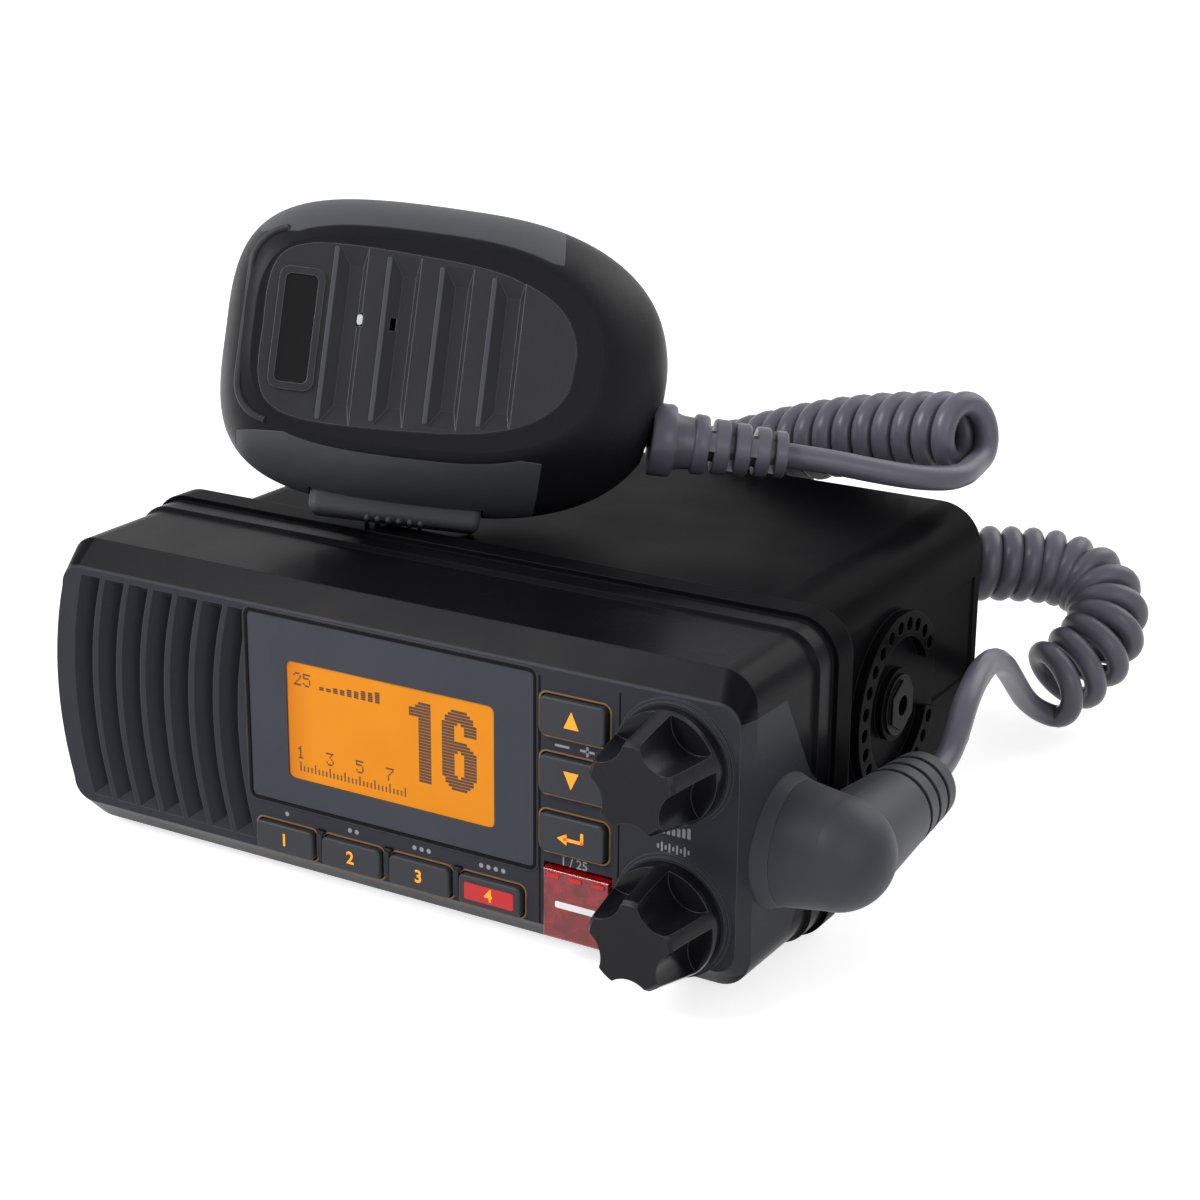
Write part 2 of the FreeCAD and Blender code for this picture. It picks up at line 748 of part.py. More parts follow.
button = doc.addObject("PartDesign::Body", "distress_button")
cap = sketch_on(button, "XZ_Plane", "cap")
rounded_outline(cap, "distress_width", "distress_height", "0.8")
pad(button, cap, "front_wall - 1.6")
lip = sketch_on(button, "XZ_Plane", "lip")
rounded_outline(lip, "distress_width + 1.6", "distress_height + 1.6", "0.8")
pad(button, lip, "key_lip_thick", back=True)
stem = sketch_on(button, "XZ_Plane", "stem")
rounded_outline(stem, "stem_height", "stem_height", "0.8")
pad(button, stem, "board_setback - front_wall - 0.3 - distress_travel - mat_thick - 0.3", back=True)
bind_base(button, "cover_x", WALL + " + 0.3", "cover_low + 7")
keep(button, "distress_button")

# ---------------------------------------------------------------- knobs, shafts and controls


def knob():
    """A skirted knob with scalloped flutes, built along +Z from its base."""
    length = size("knob_front") - size("collar_proud") - 0.4
    skirt, tip = size("knob_skirt_radius"), size("knob_tip_radius")
    rim, floor = 2.4, 3.4
    profile = [Vector(0, 0, 0), Vector(skirt - 0.3, 0, 0), Vector(skirt, 0, 0.3),
               Vector(skirt, 0, rim), Vector(tip + 0.35, 0, length - 0.9),
               Vector(tip - 0.45, 0, length), Vector(0, 0, length), Vector(0, 0, 0)]
    solid = Part.Face(Part.makePolygon(profile)).revolve(Vector(0, 0, 0), Vector(0, 0, 1), 360)
    count = int(size("knob_flutes"))
    flutes = []
    for i in range(count):
        angle = 2 * math.pi * (i + 0.5) / count + math.pi / 2
        out = Vector(math.cos(angle), math.sin(angle), 0)
        flutes.append(Part.makeCylinder(size("flute_radius"), length, out * size("flute_centre")
                                        + Vector(0, 0, floor), Vector(0, 0, 1)))
    flutes.append(Part.makeCylinder(size("shaft_radius"), length - 4.0))
    return solid.cut(flutes)


knob_base = face_y - size("collar_proud") - 0.4
for name, level in (("volume", "volume_z"), ("squelch", "squelch_z")):
    seat = Placement(Vector(size("knob_x"), knob_base, size(level)), TURNS["-y"])
    feature(f"{name}_knob", knob(), seat)
    shaft = cylinder("shaft_radius", "knob_front - 4 + front_wall + pot_depth - 1.5", "knob_x",
                     WALL + " + pot_depth - 1.5", level, "-y")
    keep(shaft, f"{name}_shaft")
    body = box("pot_size", "pot_depth", "pot_size", "knob_x", BOARD + " - pot_depth", level)
    neck = cylinder("shaft_radius + shaft_clearance", "1.2", "knob_x", BOARD + " - pot_depth",
                    level, "-y")
    bore = cylinder("shaft_radius + pot_bore_clearance", "pot_depth + 4", "knob_x",
                    BOARD + " - 0.8", level, "-y")
    keep(cut(fuse(body, neck), bore), f"{name}_pot")

# ---------------------------------------------------------------- loudspeaker

speaker_front = FACE + " + grille_backing + 0.4"
rim = cylinder("speaker_radius", "3", "speaker_x", speaker_front, "speaker_z", "y")
basket = cone("speaker_radius - 1", "magnet_radius", "7", "speaker_x", speaker_front + " + 3",
              "speaker_z", "y")
hollow = cone("speaker_radius - 2", "magnet_radius - 3", "9.5", "speaker_x",
              speaker_front + " - 0.5", "speaker_z", "y")
keep(cut(fuse(rim, basket), hollow), "speaker_frame")
cup = cone("speaker_radius - 3.8", "5", "6", "speaker_x", speaker_front + " + 0.6", "speaker_z", "y")
inside = cone("speaker_radius - 4.3", "4.5", "6", "speaker_x", speaker_front + " + 0.2",
              "speaker_z", "y")
keep(cut(cup, inside), "speaker_cone")
keep(cylinder("magnet_radius", "6", "speaker_x", speaker_front + " + 10", "speaker_z", "y"),
     "speaker_magnet")

# ---------------------------------------------------------------- gasket and case

gasket = plate("bezel_gasket", "XZ_Plane", "flange_width - 2 * gasket_inset",
               "flange_height - 2 * gasket_inset", "9", "gasket_depth", ("0", CASE_FRONT, MIDDLE))
inner = sketch_on(gasket, "XZ_Plane", "inner")
rounded_outline(inner, "flange_width - 2 * gasket_inset - 2 * gasket_width",
                "flange_height - 2 * gasket_inset - 2 * gasket_width", "6")
pocket(gasket, inner, "gasket_depth", back=True)


def ring_angles():
    first, step = size("ring_hole_first"), size("ring_hole_step")
    return [first + i * step for i in range(int(size("ring_holes")))]


def side_point(radius, degrees, x):
    """A point round the bracket pivot; the angle runs from +Y towards +Z."""
    a = math.radians(degrees)
    return Vector(x, radius * math.cos(a), size("pivot_height") + radius * math.sin(a))


def index_ring():
    """The raised C of index holes round the right-hand pivot."""
    angles = ring_angles()
    start, end = angles[0] - size("ring_hole_step") / 2, angles[-1] + size("ring_hole_step") / 2
    face_x = case_side + size("ring_proud")
    arc_mid = (start + end) / 2
    wires = []
    for radius in (size("ring_outer"), size("ring_inner")):
        wires.append(Part.Arc(side_point(radius, start, case_side - 0.5),
                              side_point(radius, arc_mid, case_side - 0.5),
                              side_point(radius, end, case_side - 0.5)).toShape())
    ends = [Part.makeLine(side_point(size("ring_outer"), a, case_side - 0.5),
                          side_point(size("ring_inner"), a, case_side - 0.5)) for a in (start, end)]
    outline = Part.Wire([wires[0], ends[1], wires[1], ends[0]])
    return Part.Face(outline).extrude(Vector(face_x - case_side + 0.5, 0, 0))


def rear_case():
    wall, proud = size("case_wall"), size("ring_proud")
    low, high = middle - size("case_height") / 2, middle + size("case_height") / 2
    flange = rounded_bar(size("flange_width") / 2, 0, size("flange_height"), size("flange_corner"),
                         case_front, flange_back)
    flange = flange.makeFillet(0.8, [e for e in flange.Edges
                                     if abs(e.CenterOfMass.y - flange_back) < 0.01])
    tube = rounded_bar(case_side, low, high, size("case_corner"), case_front + 1, case_back)
    tube = tube.makeFillet(0.6, [e for e in tube.Edges if abs(e.CenterOfMass.y - case_back) < 0.01])
    hollow = rounded_bar(case_side - wall, low + wall, high - wall, size("case_corner") - wall,
                         case_front - 1, case_back + 1)
    shell = flange.fuse(tube)
    # rest rails under the back of the case
    rails = []
    for x in (-size("rail_x"), 0, size("rail_x")):
        w = size("rail_width") / 2
        rails.append(solid_box(x - w, size("rail_start"), 0, x + w, case_back - 4, low + 1))
    # raised index rings and insert bosses
    pivot = (0, size("pivot_height"))
    boss = rod(size("insert_radius") + 1.4, (case_side - wall - 8, *pivot),
               (case_side + proud - 0.6, *pivot))
    raised = both_sides(index_ring()) + both_sides(boss)
    # posts for the main board
    posts = [rod(3.2, (x, y, low + 1), (x, y, size("main_board_z"))) for x, y in board_posts()]
    shell = shell.fuse(rails)
    tools = []
    for angle in ring_angles():
        start = side_point(size("ring_hole_circle"), angle, case_side - 0.6)
        hole = Part.makeCylinder(size("ring_hole_radius"), proud + 2, start, Vector(1, 0, 0))
        tools += both_sides(hole)
    tools += both_sides(rod(size("insert_body_radius"), (case_side - 20, *pivot),
                            (case_side + 8, *pivot)))
    tools += both_sides(rod(size("insert_radius"), (case_side + proud - 1.6, *pivot),
                            (case_side + 8, *pivot)))
    # crease along the sides and the shallow panels behind the rings
    crease = solid_box(case_side - 0.4, flange_back + 0.5, high - 7.3, case_side + 1, case_back + 1,
                       high - 6.9)
    tools += both_sides(crease)
    panel = solid_box(case_side - 0.5, size("ring_outer") + 2.5, middle - 8, case_side + 1,
                      case_back - 3.5, middle + 18)
    tools += both_sides(panel)
    for x, z in flange_screw_places():
        tools.append(rod(size("screw_radius") + 0.3, (x, case_front - 1, z), (x, flange_back + 1, z)))
    for x, z in sink_screw_places():
        tools.append(rod(size("screw_radius") - 0.2, (x, sink_front - 7, z), (x, sink_front + 1, z)))
    for x, y in board_posts():
        tools.append(rod(size("screw_radius") - 0.3, (x, y, size("main_board_z") + 1),
                         (x, y, size("main_board_z") - 6)))
    shell = shell.fuse(raised).cut(hollow).fuse(posts + ledges())
    shell = shell.fuse(both_sides(boss))
    return shell.cut(tools).removeSplitter()


def board_posts():
    """The main board's screws, 5 mm in from its corners."""
    x = case_side - size("case_wall") - size("board_side_room") - 5
    y0, y1 = size("main_board_y") + 5, sink_front - size("board_back_room") - 5
    return [(sx * x, y) for sx in (-1, 1) for y in (y0, y1)]


def ledges():
    """Four corner blocks inside the back of the case that the heat sink screws to."""
    blocks = []
    x = case_side - size("case_wall") - 6.5
    for sx in (-1, 1):
        for z in sink_screw_levels():
            blocks.append(solid_box(min(sx * x, sx * (x + 7.5)), sink_front - 8, z - 4,
                                    max(sx * x, sx * (x + 7.5)), sink_front, z + 4))
    return blocks


def sink_screw_levels():
    reach = size("case_height") / 2 - size("case_wall") - 6
    return (middle - reach, middle + reach)


def sink_screw_places():
    x = case_side - size("case_wall") - 3.4
    return [(sx * x, z) for sx in (-1, 1) for z in sink_screw_levels()]


feature("rear_case", rear_case())

# ---------------------------------------------------------------- heat sink and sockets


def heat_sink():
    """The finned plate that closes the back of the case."""
    wall = size("case_wall") + 0.1
    low, high = middle - size("case_height") / 2 + wall, middle + size("case_height") / 2 - wall
    body = rounded_bar(case_side - wall, low, high, size("case_corner") - wall, sink_front,
                       sink_front + size("sink_plate"))
    count, span = int(size("sink_fins")), size("sink_fin_span")
    thick = size("sink_fin_thick")
    fins = []
    for i in range(count):
        x = -span / 2 + i * span / (count - 1)
        fins.append(solid_box(x - thick / 2, sink_front + 0.5, low + 4, x + thick / 2, case_back,
                              high - 4))
    plug_w, plug_t = size("socket_width") / 2 + 0.1, size("socket_tall") / 2 + 0.1
    tools = [rod(size("socket_bore_radius") + 1.6, (size("socket_x"), 0, size("socket_z")),
                 (size("socket_x"), case_back + 5, size("socket_z"))),
             solid_box(size("plug_x") - plug_w, 0, size("plug_z") - plug_t,
                       size("plug_x") + plug_w, case_back + 5, size("plug_z") + plug_t)]
    for x, z in sink_screw_places():
        tools.append(rod(size("screw_radius") + 0.2, (x, 0, z), (x, case_back, z)))
    return body.fuse(fins).cut(tools)


feature("heat_sink", heat_sink())

sink_back = SINK_FRONT + " + sink_plate"
flange = box("25.4", "1.6", "25.4", "socket_x", sink_back, "socket_z")
barrel = cylinder("socket_thread_radius", "socket_length", "socket_x", sink_back, "socket_z", "y")
stub = cylinder("socket_bore_radius + 1.5", "sink_plate + 6", "socket_x", SINK_FRONT + " - 6",
                "socket_z", "y")
bore = cylinder("socket_bore_radius", "socket_bore_depth", "socket_x",
                sink_back + " + socket_length - socket_bore_depth", "socket_z", "y")
keep(cut(fuse(flange, barrel, stub), bore), "antenna_socket")

housing = box("socket_width", "sink_plate + plug_depth + 5", "socket_tall", "plug_x",
              SINK_FRONT + " - 5", "plug_z")
collar = box("socket_width + 4", "1.6", "socket_tall + 4", "plug_x", sink_back, "plug_z")
cavity = box("socket_width - 3", "plug_depth + 5", "socket_tall - 3", "plug_x", sink_back,
             "plug_z")
pins = [box("1", "plug_depth - 2", "2.8", f"plug_x + {side} * 3.5", sink_back + " - 1", "plug_z")
        for side in ("-1", "1")]
keep(fuse(cut(fuse(housing, collar), cavity), *pins), "power_socket")

# ---------------------------------------------------------------- pivot inserts and screws


def pivot_insert():
    """Threaded brass-cored insert: round flange, hexagon on it, blind thread from outside."""
    proud = size("ring_proud")
    axis = (0, size("pivot_height"))
    start = case_side + proud - 1.6
    disc = rod(size("insert_radius") - 0.05, (start, *axis), (start + 1.6, *axis))
    shank = rod(size("insert_body_radius"), (start - size("insert_length") + 2, *axis),
                (start, *axis))
    corner = size("insert_hex") / 2 / math.cos(math.radians(30))
    points = [side_point(corner, 60 * i + 30, start + 1.6) for i in range(7)]
    hexagon = Part.Face(Part.makePolygon(points)).extrude(Vector(0.9, 0, 0))
    hexagon.translate(Vector(-0.1, 0, 0))
    thread = rod(size("insert_bore_radius"), (start - size("insert_length") + 4, *axis),
                 (start + 6, *axis))
    return disc.fuse([shank, hexagon]).cut(thread).removeSplitter()


right_insert, left_insert = both_sides(pivot_insert())
feature("pivot_insert_right", right_insert)
feature("pivot_insert_left", left_insert)


def screw(head, shank, length, start, direction):
    """A pan-head screw; the start is under its head, the direction along its shank."""
    start, direction = Vector(*start), Vector(*direction)
    thick = head * 0.6
    cap = Part.makeCylinder(head, thick, start - direction * thick, direction)
    slot = Part.makeBox(head * 1.3, head * 0.3, thick * 0.5)
    slot.translate(Vector(-head * 0.65, -head * 0.15, 0))
    cross = slot.fuse(slot.copy().rotated(Vector(0, 0, 0), Vector(0, 0, 1), 90))
    cross.Placement = Placement(start - direction * thick, Rotation(Vector(0, 0, 1), direction))
    return cap.fuse(Part.makeCylinder(shank, length, start, direction)).cut(cross)


head, thread = size("screw_head_radius"), size("screw_radius")
feature("flange_screws", Part.makeCompound(
    [screw(head, thread, 14, (x, flange_back, z), (0, -1, 0)) for x, z in flange_screw_places()]))
feature("sink_screws", Part.makeCompound(
    [screw(head - 0.2, thread - 0.2, 9, (x, sink_front + size("sink_plate"), z), (0, -1, 0))
     for x, z in sink_screw_places()]))
board_top = size("main_board_z") + size("board_thick")
feature("board_screws", Part.makeCompound(
    [screw(head, thread - 0.3, 6, (x, y, board_top), (0, 0, -1)) for x, y in board_posts()]))

# ---------------------------------------------------------------- boards inside the case

board = plate("main_board", "XY_Plane", BOARD_WIDTH, BOARD_LENGTH, "2", "board_thick",
              ("0", "main_board_y + " + BOARD_LENGTH + " / 2", "main_board_z"))
holes = sketch_on(board, "XY_Plane", "screw_holes")
for sx in ("-1", "1"):
    for sy in ("-1", "1"):
        rounded_outline(holes, "3", "3", "1.45", f"{sx} * ({BOARD_WIDTH} / 2 - 5)",
                        f"{sy} * ({BOARD_LENGTH} / 2 - 5)")
pocket(board, holes, "board_thick", back=True)

on_board = "main_board_z + board_thick"
shield = box("60", "38", "shield_height", "-25", "-24", on_board + " + shield_height / 2")
keep(shield, "rf_shield")
tab = box("26", "3", "14", "30", SINK_FRONT + " - 3", on_board + " + 12")
block = box("22", "7", "8", "30", SINK_FRONT + " - 10", on_board + " + 8")
keep(fuse(tab, block), "power_module")
ribbon_back = box("28", "0.4", "10", "10", BOARD + " + board_thick", on_board + " - 0.5")
ribbon_flat = box("28", "main_board_y + 6 - (" + BOARD + " + board_thick)", "0.4", "10",
                  BOARD + " + board_thick", on_board + " + 0.2")
keep(fuse(ribbon_back, ribbon_flat), "ribbon_cable")

# ---------------------------------------------------------------- boot at the bezel's side


def boot_collar():
    """The flared washer on the bezel's sloping side, with a neck through its wall."""
    x, y, z = bezel_side_x(), size("boot_y"), size("boot_z")
    root, width = size("collar_boot_radius"), size("collar_boot_width")
    body = Part.makeCone(root, size("boot_root_radius"), width, Vector(x - 0.4, y, z), Vector(1, 0, 0))
    neck = rod(4.9, (x - 4.6, y, z), (x + 2, y, z))
    bore = rod(size("cord_radius"), (x - 8, y, z), (x + width + 1, y, z))
    return body.cut(bezel_outer()).fuse(neck).cut(bore)


def cord_boot():
    """A moulded elbow: a barrel out of the side, a round turn and a ribbed leg to the back."""
    x0 = bezel_side_x() - 0.4 + size("collar_boot_width")
    y, z = size("boot_y"), size("boot_z")
    turn = Vector(bezel_side_x() + size("boot_turn_out"), y, z)
    root, round_radius = size("boot_root_radius"), size("boot_turn_radius")
    leg, tip, end = size("boot_leg_radius"), size("boot_tip_radius"), size("boot_end_y")
    leg_start = -46.0
    barrel = Part.makeCone(root, round_radius, turn.x - x0, Vector(x0, y, z), Vector(1, 0, 0))
    elbow = Part.makeSphere(round_radius, turn).cut(solid_box(x0 - 20, y - 20, z - 20, x0, y + 20,
                                                              z + 20))
    sleeve = Part.makeCone(round_radius - 0.9, leg, leg_start - y, turn, Vector(0, 1, 0))
    core = Part.makeCone(leg - 1.6, tip - 1.6, end - leg_start, Vector(turn.x, leg_start, z),
                         Vector(0, 1, 0))
    count = int(size("boot_ribs"))
    pitch = (end - leg_start) / count
    ribs = []
    for i in range(count):
        start = leg_start + i * pitch + 1.3
        near = leg + (tip - leg) * i / count
        far = leg + (tip - leg) * (i + 1) / count
        ribs.append(Part.makeCone(near, far, pitch - 1.3, Vector(turn.x, start, z), Vector(0, 1, 0)))
    bore = rod(size("cord_radius"), (turn.x, y, z), (turn.x, end + 1, z))
    entry = rod(size("cord_radius"), (x0 - 1, y, z), (turn.x, y, z))
    collar_room = rod(size("collar_boot_radius") + 0.1, (x0 - 10, y, z), (x0, y, z))
    return barrel.fuse([elbow, sleeve, core] + ribs).removeSplitter().cut([bore, entry, collar_room])


feature("boot_collar", boot_collar())
feature("cord_boot", cord_boot())

# ---------------------------------------------------------------- the cord

LEAD = [(104, -29.5, 31.8), (104, -18.5, 32.3), (103.4, -10, 36.8), (102.4, -2.5, 43.4),
        (101.4, 7, 46.6), (100.2, 17.5, 45), (98.3, 29.5, 41), (95.6, 42, 35.4), (92.4, 54.5, 28.6),
        (88.6, 67, 22), (86.4, 78.5, 16.4), (86, 89.3, 12.4)]
COIL_LOWER = [(86, 89.3, 12.4), (89.6, 96, 14.8), (93.8, 102.6, 19.2), (96, 108.4, 23.8),
              (95.8, 113.4, 27.9), (93.2, 117.7, 31.8), (88.4, 120.5, 34.9), (81.4, 120.9, 37),
              (73.2, 117.6, 38.4), (58, 107, 39.2)]
COIL_REAR = [(58, 107, 39.2), (44, 96.8, 38), (30, 87.4, 34.5), (14.5, 79, 30.5), (0.5, 74, 28.5),
             (-11, 71.5, 33.5), (-17, 71, 43), (-16.5, 70.2, 54), (-9.5, 69.3, 63)]
COIL_UPPER = [(-9.5, 69.3, 63), (1.5, 68, 68.6), (13, 66, 73.2), (26.5, 63.3, 78.3),
              (41.7, 60.2, 83.1), (59.6, 57.7, 87.3), (77.9, 54.2, 90.1)]
TAIL = [(48, 10.9, 89.9), (56.5, 16.5, 88.4), (66, 23.4, 85.7), (75, 31.4, 83.3),
        (80.6, 40.6, 82.3), (81.6, 52.1, 83)]


def cord_path(points, label):
    """Straight runs joined by tangent arcs, as large as the two runs allow."""
    points = [Vector(*p) for p in points]
    edges, start, radii = [], points[0], []
    for before, corner, after in zip(points, points[1:], points[2:]):
        into, out = corner - before, after - corner
        shorter = min(into.Length, out.Length)
        into.normalize()
        out.normalize()
        half = into.getAngle(out) / 2
        reach = 0.45 * shorter
        radii.append(reach / math.tan(half))
        first, last = corner - into * reach, corner + out * reach
        inward = (out - into).normalize()
        depth = radii[-1] * (1 / math.cos(half) - 1)
        if (first - start).Length > 1e-6:
            edges.append(Part.LineSegment(start, first).toShape())
        edges.append(Part.Arc(first, corner + inward * depth, last).toShape())
        start = last
    edges.append(Part.LineSegment(start, points[-1]).toShape())
    wire = Part.Wire(edges)
    print(label, "length %.1f" % wire.Length, "radii", [round(r, 1) for r in radii])
    return wire


def tube(points, radius, label):
    wire = cord_path(points, label)
    start = Vector(*points[0])
    direction = Vector(*points[1]) - start
    disc = Part.Wire(Part.makeCircle(radius, start, direction))
    shape = wire.makePipeShell([disc], True, False)
    expected = math.pi * radius * radius * wire.Length
    print(label, "volume over section x length %.4f" % (shape.Volume / expected))
    return shape


wire_radius, coil_radius = size("cord_radius"), size("coil_radius")
feature("cord_lead", tube(LEAD, wire_radius, "cord_lead"))
feature("cord_coil_lower", tube(COIL_LOWER, coil_radius, "cord_coil_lower"))
feature("cord_coil_rear", tube(COIL_REAR, coil_radius, "cord_coil_rear"))
feature("cord_coil_upper", tube(COIL_UPPER, coil_radius, "cord_coil_upper"))
feature("cord_tail", tube(TAIL, wire_radius, "cord_tail"))

# ---------------------------------------------------------------- microphone
# Its own axes: u along it towards the cord, v across it away from the talk bar,
# w out of its face.  The face plate's middle is at (0, 0, 0).


def mic_placement():
    yaw, tilt, lean = (math.radians(size(a)) for a in ("mic_yaw", "mic_tilt", "mic_lean"))
    along = Vector(math.cos(yaw), math.sin(yaw), 0)
    out = Vector(math.sin(yaw), -math.cos(yaw), 0)
    up = Vector(0, 0, 1)
    across = up * math.cos(lean) - out * math.sin(lean)
    normal = out * math.cos(lean) + up * math.sin(lean)
    u = along * math.cos(tilt) - across * math.sin(tilt)
    v = along * math.sin(tilt) + across * math.cos(tilt)
    matrix = FreeCAD.Matrix(u.x, v.x, normal.x, size("mic_x"), u.y, v.y, normal.y, size("mic_y"),
                            u.z, v.z, normal.z, size("mic_z"), 0, 0, 0, 1)
    return Placement(matrix)


MIC = mic_placement()
LEFT_POWER, RIGHT_POWER = 3.6, 2.45


def mic_outline(w, inset, in_left, in_right, narrow):
    """The microphone's rounded outline at depth w, as one smooth closed curve."""
    left = -size("mic_length") / 2 + in_left + inset
    right = size("mic_length") / 2 - in_right - inset
    half = size("mic_width") / 2 * narrow - inset
    centre, reach = (left + right) / 2, (right - left) / 2
    points = []
    count = 28
    for i in range(count):
        a = 2 * math.pi * i / count
        power = RIGHT_POWER if math.cos(a) >= 0 else LEFT_POWER
        u = math.copysign(abs(math.cos(a)) ** (2 / power), math.cos(a))
        v = math.copysign(abs(math.sin(a)) ** (2 / power), math.sin(a))
        points.append(Vector(centre + reach * u, half * v, w))
    curve = Part.BSplineCurve()
    curve.interpolate(Points=points, PeriodicFlag=True)
    return Part.Wire(curve.toShape())


# depth as a share of the whole, how far the ends draw in, and the share of the width
MIC_LEVELS = ((0.0, 7.5, 17.0, 0.66), (0.04, 5.5, 13.5, 0.74), (0.14, 3.0, 8.5, 0.85),
              (0.30, 1.0, 3.0, 0.95), (0.50, 0.0, 0.0, 1.0), (0.72, 1.2, 1.2, 0.975),
              (0.92, 4.2, 6.5, 0.87), (1.0, 7.5, 11.5, 0.74))


def mic_form(inset):
    """The closed outer form of the microphone, drawn in by the inset on every side."""
    depth = size("mic_depth")
    sections = []
    for share, in_left, in_right, narrow in MIC_LEVELS:
        w = -inset - share * (depth - 2 * inset)
        sections.append(mic_outline(w, inset, in_left, in_right, narrow))
    return Part.makeLoft(sections, True, False)


def plate_prism(inset, deep):
    """The face plate's outline, extruded from above the face down to the depth."""
    left, right = -size("mic_length") / 2 + 9.5 + inset, size("mic_length") / 2 - 23 - inset
    half = 21.5 - inset
    points = []
    for i in range(24):
        a = 2 * math.pi * i / 24
        power = 2.6 if math.cos(a) >= 0 else 5.0
        u = math.copysign(abs(math.cos(a)) ** (2 / power), math.cos(a))
        v = math.copysign(abs(math.sin(a)) ** (2 / power), math.sin(a))
        u = (left + right) / 2 + (right - left) / 2 * u
        points.append(Vector(u, (half - 0.035 * (u - left)) * v, -deep))
    curve = Part.BSplineCurve()
    curve.interpolate(Points=points, PeriodicFlag=True)
    return Part.Face(Part.Wire(curve.toShape())).extrude(Vector(0, 0, deep + 3))


LOUVRES = 4
LOUVRE_FIRST, LOUVRE_PITCH, LOUVRE_WIDTH, LOUVRE_DEPTH = -27.4, 12.1, 6.8, 1.6
LOUVRE_SLOPE, LOUVRE_LIP, LOUVRE_END_SLOPE = 3.0, 0.8, 4.5
LOUVRE_LONG, LOUVRE_SHORTER = 20.6, 0.9


def mic_louvre(index):
    """One sound groove: a long slope, a flat floor and a steep lip, with sloping ends."""
    u = LOUVRE_FIRST + index * LOUVRE_PITCH
    end_u = u + LOUVRE_WIDTH
    half = LOUVRE_LONG - index * LOUVRE_SHORTER
    across = [(u, 1), (u, 0), (u + LOUVRE_SLOPE, -LOUVRE_DEPTH), (end_u - LOUVRE_LIP, -LOUVRE_DEPTH),
              (end_u, 0), (end_u, 1), (u, 1)]
    wedge = Part.Face(Part.makePolygon([Vector(x, -half, w) for x, w in across]))
    floor = half - LOUVRE_END_SLOPE
    end = [(-half, 1), (-half, 0), (-floor, -LOUVRE_DEPTH), (floor, -LOUVRE_DEPTH),
           (half, 0), (half, 1), (-half, 1)]
    limit = Part.Face(Part.makePolygon([Vector(u - 1, v, w) for v, w in end]))
    groove = wedge.extrude(Vector(0, 2 * half, 0))
    return groove.common(limit.extrude(Vector(LOUVRE_WIDTH + 2, 0, 0)))


def ptt_slot(gap):
    half = size("ptt_length") / 2 + gap
    u, seam, w = size("ptt_u"), size("mic_seam"), size("ptt_width") / 2 + gap
    return solid_box(u - half, -60, -seam - w, u + half, -25, -seam + w)


def relief_bore():
    v, w = size("relief_v"), -size("mic_seam")
    return rod(6.0, (35, v, w), (60, v, w))


mic_back = -size("mic_depth")
outer = mic_form(0)
inner = mic_form(size("mic_wall"))
grip_form = mic_form(size("mic_grip_thick"))
grip_layer = outer.cut(grip_form)
half_width, seam = size("mic_width") / 2, size("mic_seam")
grip_zone = [solid_box(-46, s0, -seam, 24, s1, -1.2) for s0, s1 in ((-60, -23.5), (22.5, 60))]
grips = [grip_layer.common(zone).cut(ptt_slot(size("ptt_gap"))) for zone in grip_zone]

shell = outer.cut(inner)
front_half = shell.common(solid_box(-80, -80, -seam, 80, 80, 10))
rear_half = shell.common(solid_box(-80, -80, -80, 80, 80, -seam))
front_half = front_half.cut([plate_prism(0, size("mic_plate_thick")), plate_prism(4, 10),
                             ptt_slot(size("ptt_gap")), relief_bore()] + grips)
rear_half = rear_half.cut([ptt_slot(size("ptt_gap")), relief_bore()])


def mic_screw_places():
    return [(-38, -20), (-38, 20), (30, 18), (30, -22)]


# the screws' pillars meet their sockets behind the seam
mic_head_seat = mic_back + 3.4
pillar_foot, pillar_top = -seam - 5, -size("mic_plate_thick") - 0.2
pillars = [rod(2.2, (u, v, pillar_foot), (u, v, pillar_top)).common(outer)
           for u, v in mic_screw_places()]
sockets = [rod(3.0, (u, v, mic_back), (u, v, pillar_foot - 0.2)).common(outer)
           for u, v in mic_screw_places()]
front_half = front_half.fuse(pillars)
rear_half = rear_half.fuse(sockets)
for u, v in mic_screw_places():
    front_half = front_half.cut(rod(1.25, (u, v, pillar_foot - 1), (u, v, pillar_foot + 11)))
    rear_half = rear_half.cut([rod(1.35, (u, v, mic_back - 1), (u, v, pillar_foot + 1)),
                               rod(2.3, (u, v, mic_back - 1), (u, v, mic_head_seat))])
stud_u = -6.0
rear_half = rear_half.cut(rod(1.8, (stud_u, 0, mic_back - 1), (stud_u, 0, mic_back + 13)))
feature("mic_front_shell", front_half, MIC)
feature("mic_rear_shell", rear_half, MIC)
feature("mic_grip_lower", grips[0], MIC)
feature("mic_grip_upper", grips[1], MIC)


def mic_face_plate():
    """The louvred plate let into the face."""
    body = plate_prism(size("mic_plate_gap"), size("mic_plate_thick"))
    body = body.common(outer)
    badge = solid_box(-38.5, -12.5, -0.6, -31, 12.5, 5)
    sound_holes = [solid_box(u, 2.4, -5, u + 1.3, 5.4, 2) for u in (-21.5, -14.0)]
    return body.cut([mic_louvre(i) for i in range(LOUVRES)] + sound_holes + [badge])


feature("mic_face_plate", mic_face_plate(), MIC)
badge = solid_box(-38.4, -12.4, -0.6, -31.1, 12.4, 0.0)
badge = badge.makeFillet(1.2, [e for e in badge.Edges
                               if abs(e.tangentAt(e.FirstParameter).z) > 0.9])
feature("mic_badge", badge, MIC)


